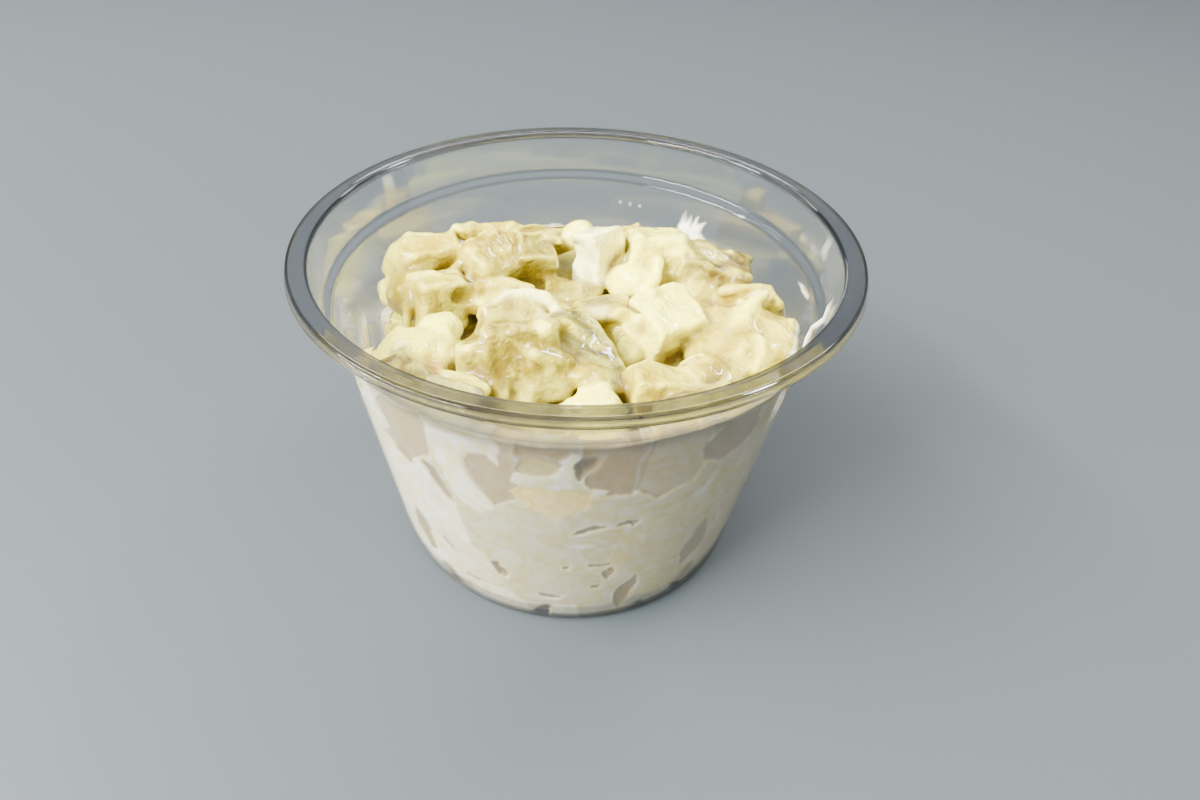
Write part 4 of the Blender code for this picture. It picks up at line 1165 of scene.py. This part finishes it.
def cup_profile():
    """The cup's section, up the outside, over the flange and down the inside, with its parts."""
    corners = [
        (HUB_RADIUS, 0.0, 0.0, "wall"),
        (FOOT_RADIUS, 0.0, FOOT_ROUNDING, "wall"),
        *ledge_corners(WALL),
        (MOUTH_RADIUS + WALL - 0.1, MOUTH_HEIGHT - WALL - 0.8, 0.0, "mouth"),
        (MOUTH_RADIUS + WALL, MOUTH_HEIGHT - WALL, 0.2, "edge"),
        (MOUTH_RADIUS + WALL + 0.6, MOUTH_HEIGHT - WALL, 0.0, "flange"),
        (FLANGE_RADIUS - WALL, FLANGE_HEIGHT - 2 * WALL, 0.4, "flange"),
        (SKIRT_RADIUS - WALL, SKIRT_HEIGHT + 0.35, 0.0, "flange"),
        (SKIRT_RADIUS - WALL, SKIRT_HEIGHT, 0.15, "edge"),
        (SKIRT_RADIUS, SKIRT_HEIGHT, 0.15, "edge"),
        (SKIRT_RADIUS - 0.1, SKIRT_HEIGHT + 0.25, 0.0, "skirt"),
        (FLANGE_RADIUS + 0.1, FLANGE_HEIGHT - 0.6, 0.0, "skirt"),
        (FLANGE_RADIUS, FLANGE_HEIGHT - 0.1, 0.2, "edge"),
        (FLANGE_RADIUS - 0.5, FLANGE_HEIGHT, 0.0, "edge"),
        (FLANGE_RADIUS - 0.8, FLANGE_HEIGHT, 0.0, "flange"),
        (FLANGE_RADIUS - 1.5, FLANGE_HEIGHT - 0.05, 0.0, "flange"),
        (MOUTH_RADIUS + 1.9, FLANGE_HEIGHT - 0.1, 0.3, "flange"),
        (MOUTH_RADIUS + WALL + 0.5, MOUTH_HEIGHT + WALL, 0.0, "flange"),
        (MOUTH_RADIUS + WALL + 0.2, MOUTH_HEIGHT + WALL, 0.0, "edge"),
        (MOUTH_RADIUS + 0.4, MOUTH_HEIGHT + 0.1, 0.0, "edge"),
        (MOUTH_RADIUS + 0.2, MOUTH_HEIGHT - 0.4, 0.0, "wall"),
        (MOUTH_RADIUS, MOUTH_HEIGHT - 1.0, 0.5, "wall"),
        *reversed(ledge_corners(0.0)),
        (FOOT_RADIUS - WALL, FLOOR, FOOT_ROUNDING - WALL, "wall"),
        (HUB_RADIUS, FLOOR, 0.0, "wall"),
    ]
    return rounded_corners(corners)


def clear_cup(material):
    """The clear cup as a turned shell."""
    profile = cup_profile()
    points, faces = turned([row[:2] for row in profile], CUP_SIDES)
    faces.append(list(range(len(points) - CUP_SIDES, len(points))))
    # painted shade: darker plastic at the ledge, flange, skirt and edges
    colours = np.repeat([PLASTIC[row[2]] for row in profile], CUP_SIDES, axis=0)
    return mesh_object("clear_cup", points, faces, colours, material)


def principled(name, **values):
    """A new material and its Principled shader, with sockets set by name."""
    made = bpy.data.materials.new(name)
    made.use_nodes = True
    shader = made.node_tree.nodes["Principled BSDF"]
    for socket, value in values.items():
        shader.inputs[socket.replace("_", " ")].default_value = value
    return made, shader


def mesh_tint(nodes, links, shader):
    """The output with the mesh's own colour, whose alpha is linked to the shader."""
    tint = nodes.new("ShaderNodeAttribute")
    tint.attribute_name = "tint"
    links.new(tint.outputs["Alpha"], shader.inputs["Alpha"])
    return tint.outputs["Color"]


def plastic_material():
    """Clear formed plastic, greyer and denser where the mesh says so, with painted shade for its dark
    lines.
    """
    made, shader = principled("clear_plastic", Roughness=0.03, IOR=1.57, Transmission_Weight=1.0)
    nodes, links = made.node_tree.nodes, made.node_tree.links
    links.new(mesh_tint(nodes, links, shader), shader.inputs["Base Color"])
    return made


def noise_ramp(nodes, links, place, scale, detail, distortion, stops):
    """A noise texture run through a ramp of (position, colour) stops; the noise and the ramp."""
    noise = nodes.new("ShaderNodeTexNoise")
    noise.inputs["Scale"].default_value = scale
    noise.inputs["Detail"].default_value = detail
    noise.inputs["Distortion"].default_value = distortion
    links.new(place.outputs["Object"], noise.inputs["Vector"])
    ramp = nodes.new("ShaderNodeValToRGB")
    for element, (position, colour) in zip(ramp.color_ramp.elements, stops):
        element.position = position
        element.color = (*colour, 1.0)
    links.new(noise.outputs["Fac"], ramp.inputs["Fac"])
    return noise, ramp


def mix_colours(nodes, links, blend, share, base, over):
    """A mix of two colour outputs; the share is a number or an output."""
    mix = nodes.new("ShaderNodeMix")
    mix.data_type = "RGBA"
    mix.blend_type = blend
    if isinstance(share, float):
        mix.inputs[0].default_value = share
    else:
        links.new(share, mix.inputs[0])
    links.new(base, mix.inputs[6])
    links.new(over, mix.inputs[7])
    return mix.outputs[2]


def salad_material(name, roughness, bump, cover):
    """Moist salad that takes its colour from the mesh, with fine relief and a patchy cover of dressing."""
    made, shader = principled(
        name,
        Roughness=roughness,
        Subsurface_Weight=0.3,
        Subsurface_Radius=(1.0, 0.95, 0.5),
        Subsurface_Scale=0.002,
        Specular_IOR_Level=0.6,
        Coat_Weight=0.8,
        Coat_Roughness=0.07,
    )
    nodes, links = made.node_tree.nodes, made.node_tree.links
    tint = mesh_tint(nodes, links, shader)
    place = nodes.new("ShaderNodeTexCoord")
    stops = ((0.35, STAIN), (0.65, WHITE))
    _, stain = noise_ramp(nodes, links, place, *STAIN_NOISE, stops)
    colour = mix_colours(nodes, links, "MULTIPLY", 1.0, tint, stain.outputs["Color"])
    if cover:
        stops = ((0.46, BLACK), (0.6, (cover, cover, cover)))
        _, share = noise_ramp(nodes, links, place, *COVER_NOISE, stops)
        white = nodes.new("ShaderNodeRGB")
        white.outputs[0].default_value = (*linear(COATING), 1.0)
        colour = mix_colours(nodes, links, "MIX", share.outputs["Color"], colour, white.outputs[0])
    links.new(colour, shader.inputs["Base Color"])
    grain, _ = noise_ramp(nodes, links, place, *GRAIN_NOISE, ((0.3, BLACK), (0.7, WHITE)))
    relief = nodes.new("ShaderNodeBump")
    relief.inputs["Strength"].default_value = bump
    relief.inputs["Distance"].default_value = 0.001
    links.new(grain.outputs["Fac"], relief.inputs["Height"])
    links.new(relief.outputs["Normal"], shader.inputs["Normal"])
    return made


def pale_floor():
    """The plain pale floor that the cup stands on."""
    made, _ = principled("pale_floor", Base_Color=FLOOR_COLOUR, Roughness=0.6)
    bpy.ops.mesh.primitive_plane_add(size=FLOOR_SIZE, location=FLOOR_PLACE)
    floor = bpy.context.object
    floor.name = "floor"
    floor.data.materials.append(made)


def area_light(name, place, sizes, power, colour, glossy):
    """A soft light that looks at the cup; one that isn't glossy makes no reflections."""
    lamp = bpy.data.lights.new(name, "AREA")
    lamp.shape = "RECTANGLE"
    lamp.size, lamp.size_y = sizes
    lamp.energy = power
    lamp.color = colour
    obj = bpy.data.objects.new(name, lamp)
    obj.location = place
    obj.rotation_euler = (Vector(LIGHT_AIM) - Vector(place)).to_track_quat("-Z", "Y").to_euler()
    obj.visible_transmission = False
    obj.visible_glossy = glossy
    bpy.context.scene.collection.objects.link(obj)


def soft_studio():
    """A large light from the upper left, narrow ones that glint, and soft light from above."""
    world = bpy.data.worlds.new("studio")
    world.use_nodes = True
    sky = world.node_tree.nodes["Background"]
    sky.inputs["Color"].default_value = SKY_COLOUR
    sky.inputs["Strength"].default_value = SKY_STRENGTH
    bpy.context.scene.world = world
    for row in LIGHTS:
        area_light(*row)


def photo_camera():
    """The camera that sees the cup as the photograph does."""
    lens = bpy.data.cameras.new("photo_camera")
    lens.sensor_width = SENSOR_WIDTH
    lens.lens = LENS
    lens.shift_x, lens.shift_y = (shift / PHOTO_WIDTH for shift in PHOTO_SHIFT)
    lens.clip_start = 0.005
    obj = bpy.data.objects.new("photo_camera", lens)
    obj.location = CAMERA_PLACE
    level = math.cos(CAMERA_PITCH)
    ahead = (math.sin(CAMERA_YAW) * level, math.cos(CAMERA_YAW) * level, -math.sin(CAMERA_PITCH))
    obj.rotation_euler = Vector(ahead).to_track_quat("-Z", "Y").to_euler()
    bpy.context.scene.collection.objects.link(obj)
    bpy.context.scene.camera = obj


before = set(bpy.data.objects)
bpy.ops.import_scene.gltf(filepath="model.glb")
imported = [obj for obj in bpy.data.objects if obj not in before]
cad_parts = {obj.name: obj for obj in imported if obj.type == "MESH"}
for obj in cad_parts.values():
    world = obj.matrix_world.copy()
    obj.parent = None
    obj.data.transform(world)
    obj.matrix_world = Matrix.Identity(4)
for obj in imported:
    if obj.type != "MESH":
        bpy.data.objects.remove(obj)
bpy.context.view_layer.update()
photo_camera()
soft_studio()
pale_floor()
plastic = plastic_material()
top, crumbs = salad_top(salad_material("moist_salad", roughness=0.3, bump=0.9, cover=0.32))
pressed = salad_material("pressed_salad", roughness=0.5, bump=0.1, cover=0.0)
sides = salad_side(pressed, crumbs) + [salad_floor(pressed)]
thin = salad_material("thin_smear", roughness=0.4, bump=0.3, cover=0.0)
shell = clear_cup(plastic)
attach(shell, "root")
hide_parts("cup")
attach(top, "root")
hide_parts("potato_salad")
for piece in sides + [smear_mesh(corners, thin) for corners in SMEARS]:
    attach(piece, "root")
